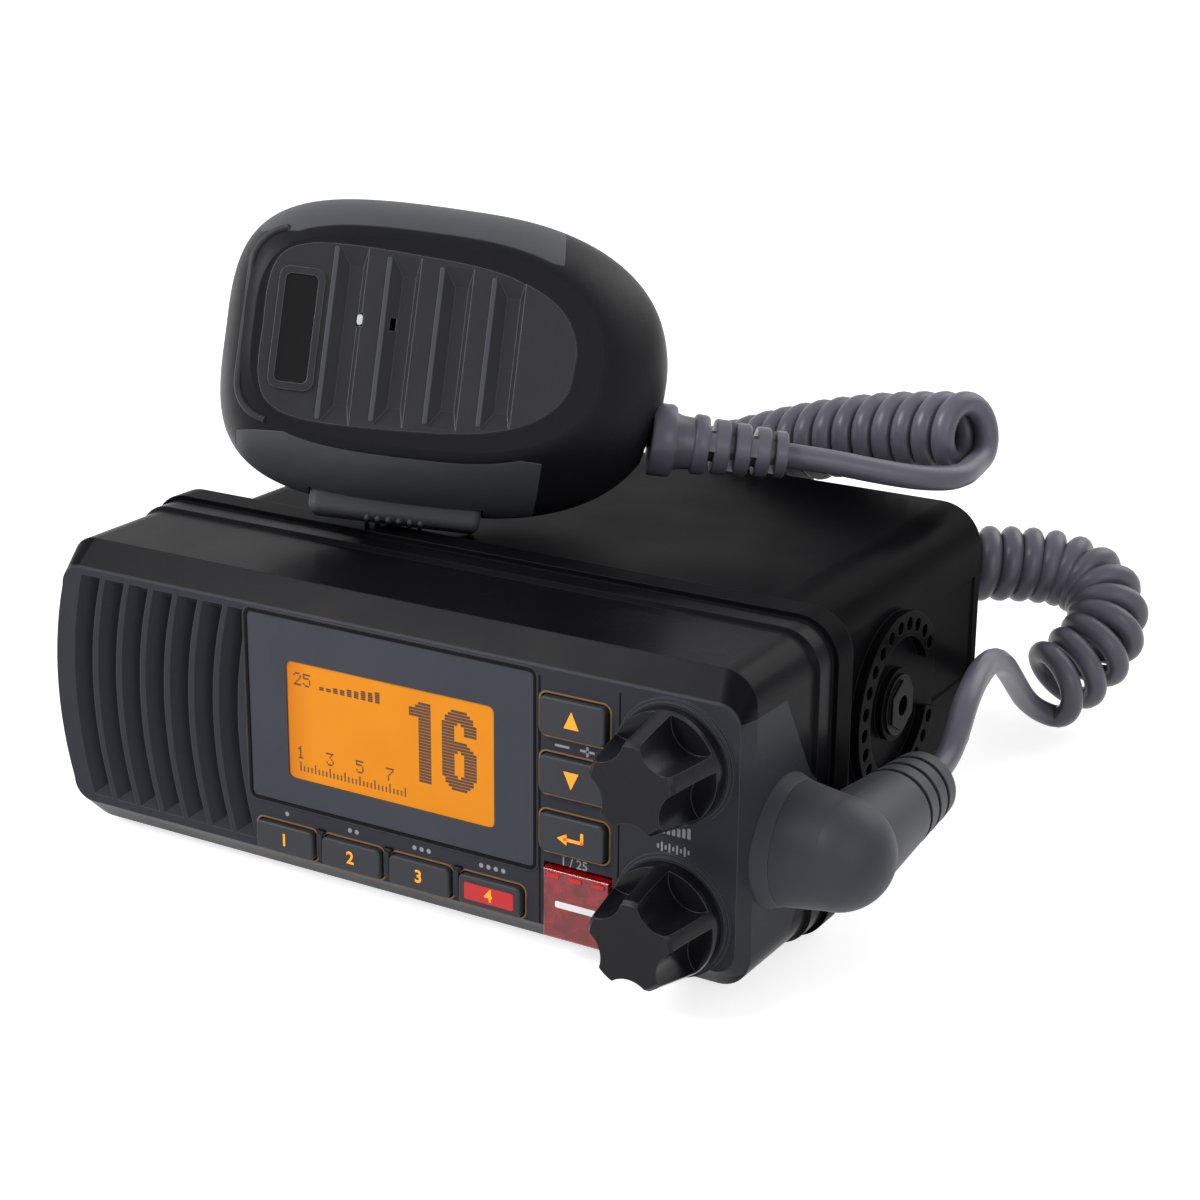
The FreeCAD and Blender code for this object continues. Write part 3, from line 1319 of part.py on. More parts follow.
def ptt_bar():
    """The push-to-talk bar, with ribs under the thumb and a foot that meets the switch."""
    half, width = size("ptt_length") / 2, size("ptt_width") / 2
    u, out = size("ptt_u"), -half_width - size("ptt_proud")
    bar = solid_box(u - half, out, -seam - width, u + half, out + 8, -seam + width)
    long_edges = [e for e in bar.Edges if e.CenterOfMass.y < out + 4.5]
    bar = bar.makeFillet(2.2, long_edges)
    foot = solid_box(u - 4, out + 7.5, -seam - 3, u + 4, -26.0, -seam + 3)
    return bar.fuse(foot)


feature("ptt_bar", ptt_bar(), MIC)
switch_top = -26.0 + size("ptt_travel") + 0.3
feature("ptt_switch", solid_box(size("ptt_u") - 3, switch_top, -seam - 3, size("ptt_u") + 3,
                                switch_top + 4, -seam + 3), MIC)
board_w = -seam - 4.6
board_shape = solid_box(-34, -20.5, board_w, 34, 20, board_w + size("board_thick"))
board_shape = board_shape.cut([rod(2.4, (u, v, board_w - 1), (u, v, board_w + 4))
                               for u, v in mic_screw_places()])
feature("mic_board", board_shape, MIC)
feature("mic_capsule", rod(4.85, (-4, 0, -size("mic_wall") - 6.7), (-4, 0, -size("mic_wall") - 0.2)),
        MIC)
stud = rod(4.5, (stud_u, 0, mic_back - 4), (stud_u, 0, mic_back + 0.6)).fuse(
    [rod(9.0, (stud_u, 0, mic_back - 7), (stud_u, 0, mic_back - 4)),
     rod(1.7, (stud_u, 0, mic_back), (stud_u, 0, mic_back + 6))]).removeSplitter()
feature("mic_hang_button", stud.cut(rear_half), MIC)


def mic_relief():
    """The collar and the slotted, tapering sleeve that the cord leaves the microphone by."""
    v, w, end = size("relief_v"), -seam, size("relief_end")
    start = size("mic_length") / 2 - 6
    collar = rod(size("relief_collar_radius"), (start, v, w), (start + 9.5, v, w))
    sleeve = Part.makeCone(size("relief_root_radius"), size("relief_tip_radius"),
                           end - start - 9.0, Vector(start + 9.0, v, w), Vector(1, 0, 0))
    body = collar.fuse(sleeve).cut(outer)
    neck = rod(5.9, (start - 6, v, w), (start + 2, v, w))
    slots = []
    for i in range(5):
        u = start + 14 + i * 3.6
        side = 1 if i % 2 else -1
        slots.append(solid_box(u, v - 10, w + side * 1.5, u + 1.5, v + 10, w + side * 12)
                     if side > 0 else solid_box(u, v - 10, w - 12, u + 1.5, v + 10, w - 1.5))
    bore = rod(size("cord_radius"), (start - 8, v, w), (end + 1, v, w))
    return body.fuse(neck).cut(slots + [bore]).removeSplitter()


feature("mic_relief", mic_relief(), MIC)
mic_screw_length = pillar_foot + 8.4 - mic_head_seat
feature("mic_screws", Part.makeCompound(
    [screw(2.2, 1.25, mic_screw_length, (u, v, mic_head_seat), (0, 0, 1))
     for u, v in mic_screw_places()]), MIC)

# ---------------------------------------------------------------- checks and files

doc.recompute()
for thing in doc.Objects:
    if "Invalid" in thing.State or "Error" in thing.State:
        raise RuntimeError(f"{thing.Name} ({thing.Label}) failed: {thing.State}")
labels = [thing.Label for thing in NODES]
if len(set(labels)) != len(labels):
    raise RuntimeError("two sub-parts share a label")
for thing in NODES:
    shape = thing.Shape
    if shape.isNull() or not shape.isValid():
        raise RuntimeError(f"{thing.Label} has no valid shape")
    print("%-22s solids %2d volume %10.1f" % (thing.Label, len(shape.Solids), shape.Volume))
for thing in NODES:
    thing.Shape.exportStep(f"parts/{thing.Label}.step")
print(len(NODES), "parts written")
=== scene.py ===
import json
import math

import bmesh
import bpy
import numpy as np
from mathutils import Matrix, Vector
from mathutils.bvhtree import BVHTree


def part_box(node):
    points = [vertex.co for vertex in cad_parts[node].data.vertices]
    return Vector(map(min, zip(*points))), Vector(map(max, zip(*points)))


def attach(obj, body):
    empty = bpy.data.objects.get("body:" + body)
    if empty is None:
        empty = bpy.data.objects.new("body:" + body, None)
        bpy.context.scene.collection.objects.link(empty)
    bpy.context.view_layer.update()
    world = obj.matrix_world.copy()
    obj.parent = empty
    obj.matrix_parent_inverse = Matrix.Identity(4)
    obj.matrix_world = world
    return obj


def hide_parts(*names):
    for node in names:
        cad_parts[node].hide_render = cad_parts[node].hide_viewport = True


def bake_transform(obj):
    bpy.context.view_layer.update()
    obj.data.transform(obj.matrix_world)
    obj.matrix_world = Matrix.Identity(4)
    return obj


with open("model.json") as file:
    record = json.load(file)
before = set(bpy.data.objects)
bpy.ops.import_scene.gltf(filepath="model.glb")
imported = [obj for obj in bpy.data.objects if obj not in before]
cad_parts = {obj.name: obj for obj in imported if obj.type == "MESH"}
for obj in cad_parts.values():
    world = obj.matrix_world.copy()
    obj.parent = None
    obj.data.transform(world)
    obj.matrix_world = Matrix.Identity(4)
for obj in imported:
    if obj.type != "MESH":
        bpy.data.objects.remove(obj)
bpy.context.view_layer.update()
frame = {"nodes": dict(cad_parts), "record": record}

# A fixed-mount marine radio with a fist microphone standing on it.
# The scene is in metres, +X to the right of its front, +Y to its back, +Z up. Lengths and
# places are written in millimetres, and turned by mm() or MM, unless a comment says otherwise.

MM = 0.001
NODES = frame["nodes"]
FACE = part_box("window_frame")[0].y / MM

# ---------------------------------------------------------------- helpers: meshes


def mm(x, y, z):
    return Vector((x, y, z)) * MM


def make_object(name, mesh, material, body):
    """Put a finished mesh in the scene, on the CAD body that carries it."""
    piece = bpy.data.objects.new(name, mesh)
    bpy.context.scene.collection.objects.link(piece)
    mesh.materials.clear()
    mesh.materials.append(material)
    if body:
        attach(piece, body)
    return piece


def mesh_of(name, build):
    """A mesh made by a function that fills a bmesh."""
    work = bmesh.new()
    build(work)
    bmesh.ops.recalc_face_normals(work, faces=work.faces)
    mesh = bpy.data.meshes.new(name)
    work.to_mesh(mesh)
    work.free()
    return mesh


def shade_smooth(mesh, angle):
    """Smooth faces, with the edges sharper than the angle, in degrees, left crisp."""
    for polygon in mesh.polygons:
        polygon.use_smooth = True
    work = bmesh.new()
    work.from_mesh(mesh)
    for edge in work.edges:
        edge.smooth = edge.is_manifold and edge.calc_face_angle(0) < math.radians(angle)
    work.to_mesh(mesh)
    work.free()


def rounded_loop(width, height, corner, steps=6):
    """Points of a rounded rectangle round (0, 0), anticlockwise."""
    points = []
    for i, (sx, sz) in enumerate(((1, 1), (-1, 1), (-1, -1), (1, -1))):
        cx, cz = sx * (width / 2 - corner), sz * (height / 2 - corner)
        for k in range(steps + 1):
            a = math.pi / 2 * (i + k / steps)
            points.append((cx + corner * math.cos(a), cz + corner * math.sin(a)))
    return points


def join_rows(work, rows):
    """Faces from each closed row of vertices to the next; all rows have as many."""
    for low, high in zip(rows, rows[1:]):
        for a in range(len(low)):
            b = (a + 1) % len(low)
            work.faces.new((low[a], low[b], high[b], high[a]))


def join_solid(work, rows):
    """The same, with a face over the first and the last row."""
    join_rows(work, rows)
    work.faces.new(rows[0])
    work.faces.new(list(reversed(rows[-1])))


def add_prism(work, loop, centre, front, back, edge=0.0):
    """A closed prism along Y; its front face is drawn in by the edge, as a small bevel."""
    x, z = centre
    steps = [(back, 0.0), (front, edge)]
    if edge:
        steps.insert(1, (front + edge, 0.0))
    rows = []
    for y, shrink in steps:
        row = []
        for px, pz in loop:
            length = math.hypot(px, pz) or 1.0
            k = 1 - shrink / length
            row.append(work.verts.new(mm(x + px * k, y, z + pz * k)))
        rows.append(row)
    join_solid(work, rows)


def add_ring(work, outer, inner, centre, front, back):
    """A flat frame between two closed lines of as many points."""
    x, z = centre

    def row(line, y):
        return [work.verts.new(mm(x + px, y, z + pz)) for px, pz in line]
    rows = [row(outer, back), row(outer, front), row(inner, front), row(inner, back)]
    join_rows(work, rows + rows[:1])


def add_lathe(work, profile, centre, sides=36):
    """A solid turned about a line along X: the profile is (x, radius) from end to end."""
    y, z = centre
    rows = [[work.verts.new(mm(x, y + r * math.cos(2 * math.pi * k / sides),
                               z + r * math.sin(2 * math.pi * k / sides))) for k in range(sides)]
            for x, r in profile]
    join_solid(work, rows)


FONT_SIZE_PER_HEIGHT = 1.38


def text_mesh(name, text, height, thick, bold):
    """Generic numerals and signs as a thin solid, standing up in the XZ plane."""
    curve = bpy.data.curves.new(name, "FONT")
    curve.body = text
    curve.size = height * MM * FONT_SIZE_PER_HEIGHT
    curve.align_x = "CENTER"
    curve.align_y = "CENTER"
    curve.extrude = thick * MM / 2
    curve.offset = bold * MM
    holder = bpy.data.objects.new(name + "_text", curve)
    bpy.context.scene.collection.objects.link(holder)
    bpy.context.view_layer.update()
    seen = holder.evaluated_get(bpy.context.evaluated_depsgraph_get())
    mesh = bpy.data.meshes.new_from_object(seen)
    bpy.data.objects.remove(holder)
    mesh.transform(Matrix.Rotation(math.radians(90), 4, "X"))
    mesh.name = name
    return mesh


def place(mesh, x, y, z):
    mesh.transform(Matrix.Translation(mm(x, y, z)))
    return mesh


# ---------------------------------------------------------------- camera

# the photo's camera: its angles in degrees, the lens as its focal length
CAMERA_PLACE = mm(299.5, -497.9, 241.7)
CAMERA_YAW, CAMERA_PITCH, CAMERA_ROLL = (math.radians(a) for a in (30.75, 18.42, 0.5))
CAMERA_LENS = 73.83


def make_camera():
    forward = Vector((-math.sin(CAMERA_YAW) * math.cos(CAMERA_PITCH),
                      math.cos(CAMERA_YAW) * math.cos(CAMERA_PITCH), -math.sin(CAMERA_PITCH)))
    level = Vector((math.cos(CAMERA_YAW), math.sin(CAMERA_YAW), 0))
    raised = level.cross(forward)
    right = level * math.cos(CAMERA_ROLL) + raised * math.sin(CAMERA_ROLL)
    up = raised * math.cos(CAMERA_ROLL) - level * math.sin(CAMERA_ROLL)
    data = bpy.data.cameras.new("camera")
    data.lens = CAMERA_LENS
    data.clip_start, data.clip_end = 0.01, 30
    camera = bpy.data.objects.new("camera", data)
    turn = Matrix((right, up, -forward)).transposed()
    camera.matrix_world = Matrix.Translation(CAMERA_PLACE) @ turn.to_4x4()
    bpy.context.scene.collection.objects.link(camera)
    bpy.context.scene.camera = camera


# ---------------------------------------------------------------- floor, world and lamps

BACKGROUND_RAYS = ("Is Camera Ray", "Is Glossy Ray", "Is Transmission Ray")
# in metres: the floor's radius, and how far it lies below the object
FLOOR_RADIUS, FLOOR_DROP = 4.0, 0.0002
FLOOR_GREY, SEEN_FLOOR_GREY, SEEN_FLOOR_GLOW = 0.78, 0.65, 0.74
ROOM_STRENGTH = 0.4
# each lamp in metres and watts: its place, its width and its power
LAMPS = {"key_light": ((-0.75, -0.95, 1.05), 0.8, 21),
         "fill_light": ((1.1, -0.7, 0.55), 0.7, 3.6),
         "back_light": ((0.5, 1.1, 1.0), 1.2, 8)}
LAMPS_AIM = (0, 0, 0.06)


def grey(value):
    return (value, value, value, 1)


def either(tree, sockets):
    """One socket that is 1 where any of the sockets is."""
    total = sockets[0]
    for socket in sockets[1:]:
        add = tree.nodes.new("ShaderNodeMath")
        add.operation = "ADD"
        add.use_clamp = True
        tree.links.new(total, add.inputs[0])
        tree.links.new(socket, add.inputs[1])
        total = add.outputs[0]
    return total


def make_floor():
    mesh = mesh_of("floor", lambda work: bmesh.ops.create_circle(
        work, cap_ends=True, segments=96, radius=FLOOR_RADIUS))
    floor = bpy.data.objects.new("floor", mesh)
    floor.location.z = -FLOOR_DROP
    bpy.context.scene.collection.objects.link(floor)
    material = bpy.data.materials.new("pale_floor")
    material.use_nodes = True
    tree = material.node_tree
    tree.nodes.clear()
    out = tree.nodes.new("ShaderNodeOutputMaterial")
    rays = tree.nodes.new("ShaderNodeLightPath")
    plain = tree.nodes.new("ShaderNodeBsdfDiffuse")
    plain.inputs["Color"].default_value = grey(FLOOR_GREY)
    soft = tree.nodes.new("ShaderNodeBsdfDiffuse")
    soft.inputs["Color"].default_value = grey(SEEN_FLOOR_GREY)
    glow = tree.nodes.new("ShaderNodeEmission")
    glow.inputs["Strength"].default_value = SEEN_FLOOR_GLOW
    seen = tree.nodes.new("ShaderNodeAddShader")
    mix = tree.nodes.new("ShaderNodeMixShader")
    tree.links.new(soft.outputs[0], seen.inputs[0])
    tree.links.new(glow.outputs[0], seen.inputs[1])
    tree.links.new(either(tree, [rays.outputs[r] for r in BACKGROUND_RAYS]), mix.inputs[0])
    tree.links.new(plain.outputs[0], mix.inputs[1])
    tree.links.new(seen.outputs[0], mix.inputs[2])
    tree.links.new(mix.outputs[0], out.inputs[0])
    mesh.materials.append(material)


def make_world():
    """White where the camera looks past the object; a soft grey room as light."""
    world = bpy.data.worlds.new("studio")
    bpy.context.scene.world = world
    world.use_nodes = True
    tree = world.node_tree
    tree.nodes.clear()
    out = tree.nodes.new("ShaderNodeOutputWorld")
    rays = tree.nodes.new("ShaderNodeLightPath")
    room = tree.nodes.new("ShaderNodeBackground")
    room.inputs["Color"].default_value = grey(1)
    room.inputs["Strength"].default_value = ROOM_STRENGTH
    white = tree.nodes.new("ShaderNodeBackground")
    white.inputs["Strength"].default_value = 1.0
    white.inputs["Color"].default_value = grey(1)
    mix = tree.nodes.new("ShaderNodeMixShader")
    tree.links.new(either(tree, [rays.outputs[r] for r in BACKGROUND_RAYS]), mix.inputs[0])
    tree.links.new(room.outputs[0], mix.inputs[1])
    tree.links.new(white.outputs[0], mix.inputs[2])
    tree.links.new(mix.outputs[0], out.inputs[0])


def make_lamp(name, place_at, size, power):
    data = bpy.data.lights.new(name, "AREA")
    data.shape = "DISK"
    data.size = size
    data.energy = power
    lamp = bpy.data.objects.new(name, data)
    lamp.location = place_at
    lamp.rotation_euler = (Vector(LAMPS_AIM) - Vector(place_at)).to_track_quat("-Z", "Y").to_euler()
    bpy.context.scene.collection.objects.link(lamp)


def make_stage():
    make_floor()
    make_world()
    for name, lamp in LAMPS.items():
        make_lamp(name, *lamp)


# ---------------------------------------------------------------- materials

# how large the patches of drifting colour are, and how wide an edge is paled, by rubbing and by a
# painted highlight
SMUDGE, WORN_AND_LIT_EDGE = 25.0, 0.35


def srgb(red, green, blue):
    """A colour given as seen, 0 to 255, as the linear colour that shaders take."""
    def linear(value):
        c = value / 255
        return c / 12.92 if c <= 0.04045 else ((c + 0.055) / 1.055) ** 2.4
    return (linear(red), linear(green), linear(blue), 1.0)


def new_material(name):
    material = bpy.data.materials.new(name)
    material.use_nodes = True
    tree = material.node_tree
    return material, tree, tree.nodes["Principled BSDF"]


def noise(tree, vector, grain, detail=2.0, roughness=0.5):
    """A noise texture whose lumps are about as large as the grain, in millimetres."""
    node = tree.nodes.new("ShaderNodeTexNoise")
    node.inputs["Scale"].default_value = 1 / (grain * MM)
    node.inputs["Detail"].default_value = detail
    node.inputs["Roughness"].default_value = roughness
    tree.links.new(vector, node.inputs["Vector"])
    return node.outputs["Fac"]


def spread(tree, value, low, high, from_low=0.3, from_high=0.7):
    """A value mapped evenly from one range to another, and held at the ends of it."""
    node = tree.nodes.new("ShaderNodeMapRange")
    for socket, number in (("From Min", from_low), ("From Max", from_high),
                           ("To Min", low), ("To Max", high)):
        node.inputs[socket].default_value = number
    tree.links.new(value, node.inputs["Value"])
    return node.outputs[0]


def mixed(tree, amount, first, second):
    """Two colours, or a colour and a socket, blended by a varying amount."""
    node = tree.nodes.new("ShaderNodeMix")
    node.data_type = "RGBA"
    tree.links.new(amount, node.inputs["Factor"])
    for index, value in ((6, first), (7, second)):
        if isinstance(value, bpy.types.NodeSocket):
            tree.links.new(value, node.inputs[index])
        else:
            node.inputs[index].default_value = value
    return node.outputs[2]


def edge_amount(tree, radius):
    """1 on edges, 0 on flat faces: how far a rounded normal leans from the true one."""
    bevel = tree.nodes.new("ShaderNodeBevel")
    bevel.samples = 4
    bevel.inputs["Radius"].default_value = radius * MM
    shape = tree.nodes.new("ShaderNodeNewGeometry")
    dot = tree.nodes.new("ShaderNodeVectorMath")
    dot.operation = "DOT_PRODUCT"
    tree.links.new(bevel.outputs[0], dot.inputs[0])
    tree.links.new(shape.outputs["Normal"], dot.inputs[1])
    return spread(tree, dot.outputs["Value"], 1.0, 0.0, 0.75, 0.995)


def finish(name, colour, roughness, grain=0.35, depth=0.02, mottle=0.12, vary=0.07, bevel=0.25,
           wear_and_highlight=0.0, specular=0.5, metallic=0.0, sheen=0.0):
    """A moulded or painted surface: colour that drifts, a grain, rounded edges paled by rubbing and
    by a painted highlight.

    The grain's size and depth and the edges' bevel are lengths; mottle, vary and wear_and_highlight
    say how far the colour drifts, the roughness drifts and the edges pale, as rubbing and as a
    painted highlight."""
    material, tree, shader = new_material(name)
    where = tree.nodes.new("ShaderNodeTexCoord").outputs["Object"]
    drift = noise(tree, where, SMUDGE, 3.0)
    fine = noise(tree, where, grain, 2.0, 0.6)
    darker = tuple(c * (1 - mottle) for c in colour[:3]) + (1,)
    lighter = tuple(min(1, c * (1 + mottle)) for c in colour[:3]) + (1,)
    tint = mixed(tree, spread(tree, drift, 0, 1), darker, lighter)
    # edges paled: partly rubbing, partly a painted highlight where edges would catch the lamps
    if wear_and_highlight > 0:
        worn_and_lit = tuple(c + (1 - c) * wear_and_highlight for c in colour[:3]) + (1,)
        tint = mixed(tree, edge_amount(tree, WORN_AND_LIT_EDGE), tint, worn_and_lit)
    tree.links.new(tint, shader.inputs["Base Color"])
    tree.links.new(spread(tree, drift, max(0.02, roughness - vary), roughness + vary),
                   shader.inputs["Roughness"])
    bump = tree.nodes.new("ShaderNodeBump")
    bump.inputs["Strength"].default_value = 1.0
    bump.inputs["Distance"].default_value = depth * MM
    tree.links.new(fine, bump.inputs["Height"])
    if bevel > 0:
        rounding = tree.nodes.new("ShaderNodeBevel")
        rounding.samples = 4
        rounding.inputs["Radius"].default_value = bevel * MM
        tree.links.new(rounding.outputs[0], bump.inputs["Normal"])
    tree.links.new(bump.outputs[0], shader.inputs["Normal"])
    shader.inputs["Specular IOR Level"].default_value = specular
    shader.inputs["Metallic"].default_value = metallic
    shader.inputs["Sheen Weight"].default_value = sheen
    return material


def between(tree, value, low, high, soft=0.2):
    """1 where a place, in millimetres, lies between two limits, and 0 beyond them."""
    rise = spread(tree, value, 0, 1, (low - soft) * MM, low * MM)
    fall = spread(tree, value, 1, 0, high * MM, (high + soft) * MM)
    return combined(tree, "MULTIPLY", rise, fall)


def combined(tree, operation, first, second):
    """One calculation with two values, each a socket or a number."""
    node = tree.nodes.new("ShaderNodeMath")
    node.operation = operation
    for socket, value in zip(node.inputs, (first, second)):
        if isinstance(value, bpy.types.NodeSocket):
            tree.links.new(value, socket)
        else:
            socket.default_value = value
    return node.outputs[0]


# where the bezel is grey: the grille, and the flats of its sides up to a slanted line
GRILLE_X, GRILLE_Z, GRILLE_DEPTH = (-90, -33), (8, 66.5), 1.4
FLANK_Z, FLANK_END, FLANK_SLANT, FLANK_MIDDLE_Z = (6, 63), -54, 0.6, 32
FAR_AHEAD = -200


def bezel_plastic():
    """Black plastic, grey over the flat front, in the grille and on the flats of its sides; the
    grey is paler on its edges, a painted highlight.
    """
    material = finish("bezel_plastic", srgb(15, 15, 18), 0.26, 0.3, 0.006, 0.06, 0.05, 0.35, 0.05,
                      specular=0.035)
    tree = material.node_tree
    shader = tree.nodes["Principled BSDF"]
    dark = shader.inputs["Base Color"].links[0].from_socket
    where = tree.nodes.new("ShaderNodeNewGeometry").outputs["Position"]
    parts = tree.nodes.new("ShaderNodeSeparateXYZ")
    tree.links.new(where, parts.inputs[0])
    x, y, z = (parts.outputs[axis] for axis in "XYZ")
    on_face = between(tree, y, FACE - 10, FACE + 0.3)
    grille = combined(tree, "MULTIPLY", between(tree, x, *GRILLE_X), between(tree, z, *GRILLE_Z))
    grille = combined(tree, "MULTIPLY", grille,
                      between(tree, y, FACE - 1, FACE + GRILLE_DEPTH, 2.9))
    off_middle = combined(tree, "ABSOLUTE",
                          combined(tree, "SUBTRACT", z, FLANK_MIDDLE_Z * MM), 0)
    slanted = combined(tree, "ADD", y, combined(tree, "MULTIPLY", off_middle, FLANK_SLANT))
    flank = combined(tree, "MULTIPLY", between(tree, slanted, FAR_AHEAD, FLANK_END, 0.4),
                     between(tree, z, *FLANK_Z))
    # the grey's edges paler: a painted highlight
    face = mixed(tree, edge_amount(tree, 0.3), srgb(52, 53, 59), srgb(88, 89, 96))
    tint = mixed(tree, either(tree, [on_face, grille, flank]), dark, face)
    tree.links.new(tint, shader.inputs["Base Color"])
    return material


def glowing(name, colour, strength, roughness=0.45):
    """A lit legend or screen, or a part given a painted glow: its own colour, a little of it given
    off.
    """
    material = finish(name, colour, roughness, 0.2, 0.003, 0.05, 0.03, 0)
    shader = material.node_tree.nodes["Principled BSDF"]
    shader.inputs["Emission Color"].default_value = colour
    shader.inputs["Emission Strength"].default_value = strength
    return material


def clear_red():
    """The see-through red lid, with streaks of clearer and deeper plastic."""
    material, tree, shader = new_material("clear_red")
    where = tree.nodes.new("ShaderNodeTexCoord").outputs["Object"]
    cloud = noise(tree, where, 3.0, 3.0)
    tint = mixed(tree, spread(tree, cloud, 0, 1), srgb(120, 6, 14), srgb(205, 18, 28))
    tree.links.new(tint, shader.inputs["Base Color"])
    tree.links.new(spread(tree, cloud, 0.06, 0.2), shader.inputs["Roughness"])
    shader.inputs["Transmission Weight"].default_value = 0.55
    shader.inputs["IOR"].default_value = 1.45
    shader.inputs["Coat Weight"].default_value = 0.4
    return material


def amber_screen():
    """The lit display: even amber, deeper along its left side."""
    material, tree, shader = new_material("amber_screen")
    where = tree.nodes.new("ShaderNodeTexCoord").outputs["Generated"]
    split = tree.nodes.new("ShaderNodeSeparateXYZ")
    tree.links.new(where, split.inputs[0])
    drift = noise(tree, tree.nodes.new("ShaderNodeTexCoord").outputs["Object"], 12, 1.0)
    across = spread(tree, split.outputs["X"], 0.0, 1.0, 0.0, 0.12)
    tint = mixed(tree, across, srgb(196, 112, 26), srgb(216, 134, 32))
    tint = mixed(tree, spread(tree, drift, 0, 0.35), tint, srgb(206, 122, 24))
    tree.links.new(tint, shader.inputs["Base Color"])
    tree.links.new(tint, shader.inputs["Emission Color"])
    tree.links.new(spread(tree, drift, 0.12, 0.2), shader.inputs["Roughness"])
    shader.inputs["Emission Strength"].default_value = 0.11
    shader.inputs["Specular IOR Level"].default_value = 0.06
    return material


# a wave texture of scale 1 has a band in every 2 pi / 20 of a metre
BAND_AT_SCALE_1, DISPLAY_BAND = 2 * math.pi / 20, 0.42


def screen_dots():
    """Dark display dots: fine rows of liquid crystal with the light between them."""
    material, tree, shader = new_material("screen_dots")
    where = tree.nodes.new("ShaderNodeTexCoord").outputs["Object"]
    rows = tree.nodes.new("ShaderNodeTexWave")
    rows.bands_direction = "Z"
    rows.inputs["Scale"].default_value = BAND_AT_SCALE_1 / (DISPLAY_BAND * MM)
    rows.inputs["Distortion"].default_value = 0.0
    tree.links.new(where, rows.inputs["Vector"])
    tint = mixed(tree, spread(tree, rows.outputs["Fac"], 0, 1, 0.75, 0.95), srgb(62, 36, 16),
                 srgb(92, 54, 18))
    tree.links.new(tint, shader.inputs["Base Color"])
    shader.inputs["Roughness"].default_value = 0.5
    return material


def turned_metal(name, colour, roughness):
    """Plated or turned metal with a fine grain."""
    return finish(name, colour, roughness, 0.12, 0.004, 0.1, 0.08, 0.15, 0, metallic=1.0)


def make_materials():
    return {
        "bezel_plastic": bezel_plastic(),
        "case_paint": finish("case_paint", srgb(13, 13, 15), 0.32, 0.6, 0.012, 0.15, 0.06, 0.4,
                             0.03, specular=0.008),
        "window_panel": finish("window_panel", srgb(60, 62, 70), 0.3, 0.25, 0.004, 0.05, 0.05,
                               0.1, 0.02, specular=0.1),
        "lcd_amber": amber_screen(),
        "screen_dots": screen_dots(),
        "red_clear": clear_red(),
        "red_rubber": finish("red_rubber", srgb(150, 14, 18), 0.5, 0.25, 0.02),
        "knob_plastic": finish("knob_plastic", srgb(20, 20, 23), 0.24, 0.3, 0.01, 0.1, 0.06,
                               0.35, 0.05, specular=0.16),
        "gasket_rubber": finish("gasket_rubber", srgb(10, 10, 11), 0.7, 0.3, 0.02, specular=0.1),
        "cast_metal": finish("cast_metal", srgb(18, 18, 20), 0.5, 0.5, 0.06, 0.15, 0.1, 0.3, 0.08,
                             specular=0.15),
        "insert_metal": finish("insert_metal", srgb(13, 13, 14), 0.34, 0.3, 0.01, 0.1, 0.08, 0.3,
                               0.06, specular=0.03),
        "steel": turned_metal("steel", srgb(176, 176, 178), 0.3),
        "plated_metal": turned_metal("plated_metal", srgb(205, 205, 202), 0.18),
        "plain_plastic": finish("plain_plastic", srgb(34, 34, 35), 0.55, 0.3, 0.02),
        "boot_rubber": finish("boot_rubber", srgb(54, 55, 62), 0.5, 0.3, 0.03, 0.12, 0.08, 0.4,
                              0.03, specular=0.2, sheen=0.05),
        "cord_sheath": finish("cord_sheath", srgb(88, 86, 97), 0.34, 0.4, 0.02, 0.1, 0.06, 0,
                              specular=0.3),
        "paper_cone": finish("paper_cone", srgb(40, 40, 40), 0.85, 0.4, 0.05),
        "magnet_metal": finish("magnet_metal", srgb(110, 110, 112), 0.5, 0.3, 0.03, metallic=1.0),
        "display_glass": finish("display_glass", srgb(150, 150, 130), 0.15),
        "white_plastic": finish("white_plastic", srgb(196, 198, 202), 0.5),
        "key_rubber": finish("key_rubber", srgb(44, 46, 50), 0.5, 0.25, 0.02, 0.1, 0.08, 0.4, 0.03,
                             specular=0.25),
        "board": finish("board", srgb(24, 92, 50), 0.4, 0.5, 0.02),
        "mic_plastic": finish("mic_plastic", srgb(22, 22, 25), 0.4, 0.35, 0.05, 0.12, 0.07, 0.4,
                              0.05, specular=0.1),
        # the face plate: the shell's plastic made paler as a painted sheen, its edges paled
        # strongly as a painted highlight
        "mic_plate_lit": finish("mic_plate_lit", srgb(45, 45, 49), 0.38, 0.35, 0.05, 0.1, 0.07, 0.4, 0.16,
                            specular=0.15),
        "grip_rubber": finish("grip_rubber", srgb(67, 68, 73), 0.5, 0.28, 0.05, 0.1, 0.07, 0.4,
                              0.06, specular=0.2),
        "gloss_black": finish("gloss_black", srgb(8, 8, 9), 0.12, 0.4, 0.004, 0.1, 0.04, 0.2,
                              specular=0.2),
        "legend": glowing("legend", srgb(240, 152, 30), 0.35),
        "glowing_red": glowing("glowing_red", srgb(178, 18, 24), 0.1),
        "amber_line": glowing("amber_line", srgb(118, 84, 44), 0.04),
        "grey_print": finish("grey_print", srgb(132, 134, 140), 0.5, 0.2, 0.002, 0.05, 0.04, 0),
        "white_print": finish("white_print", srgb(232, 232, 232), 0.45, 0.2, 0.002, 0.03, 0.04, 0),
    }


def dress_nodes(materials):
    """Give every CAD node the finish of its slot in the record; one plate has its own, a paler copy
    of the microphone's plastic as a painted sheen.
    """
    for subpart in frame["record"]["subparts"]:
        node = NODES[subpart["node"]]
        look = "mic_plate_lit" if node.name == "mic_face_plate" else subpart["material_slot"]
        node.data.materials.clear()
        node.data.materials.append(materials[look])


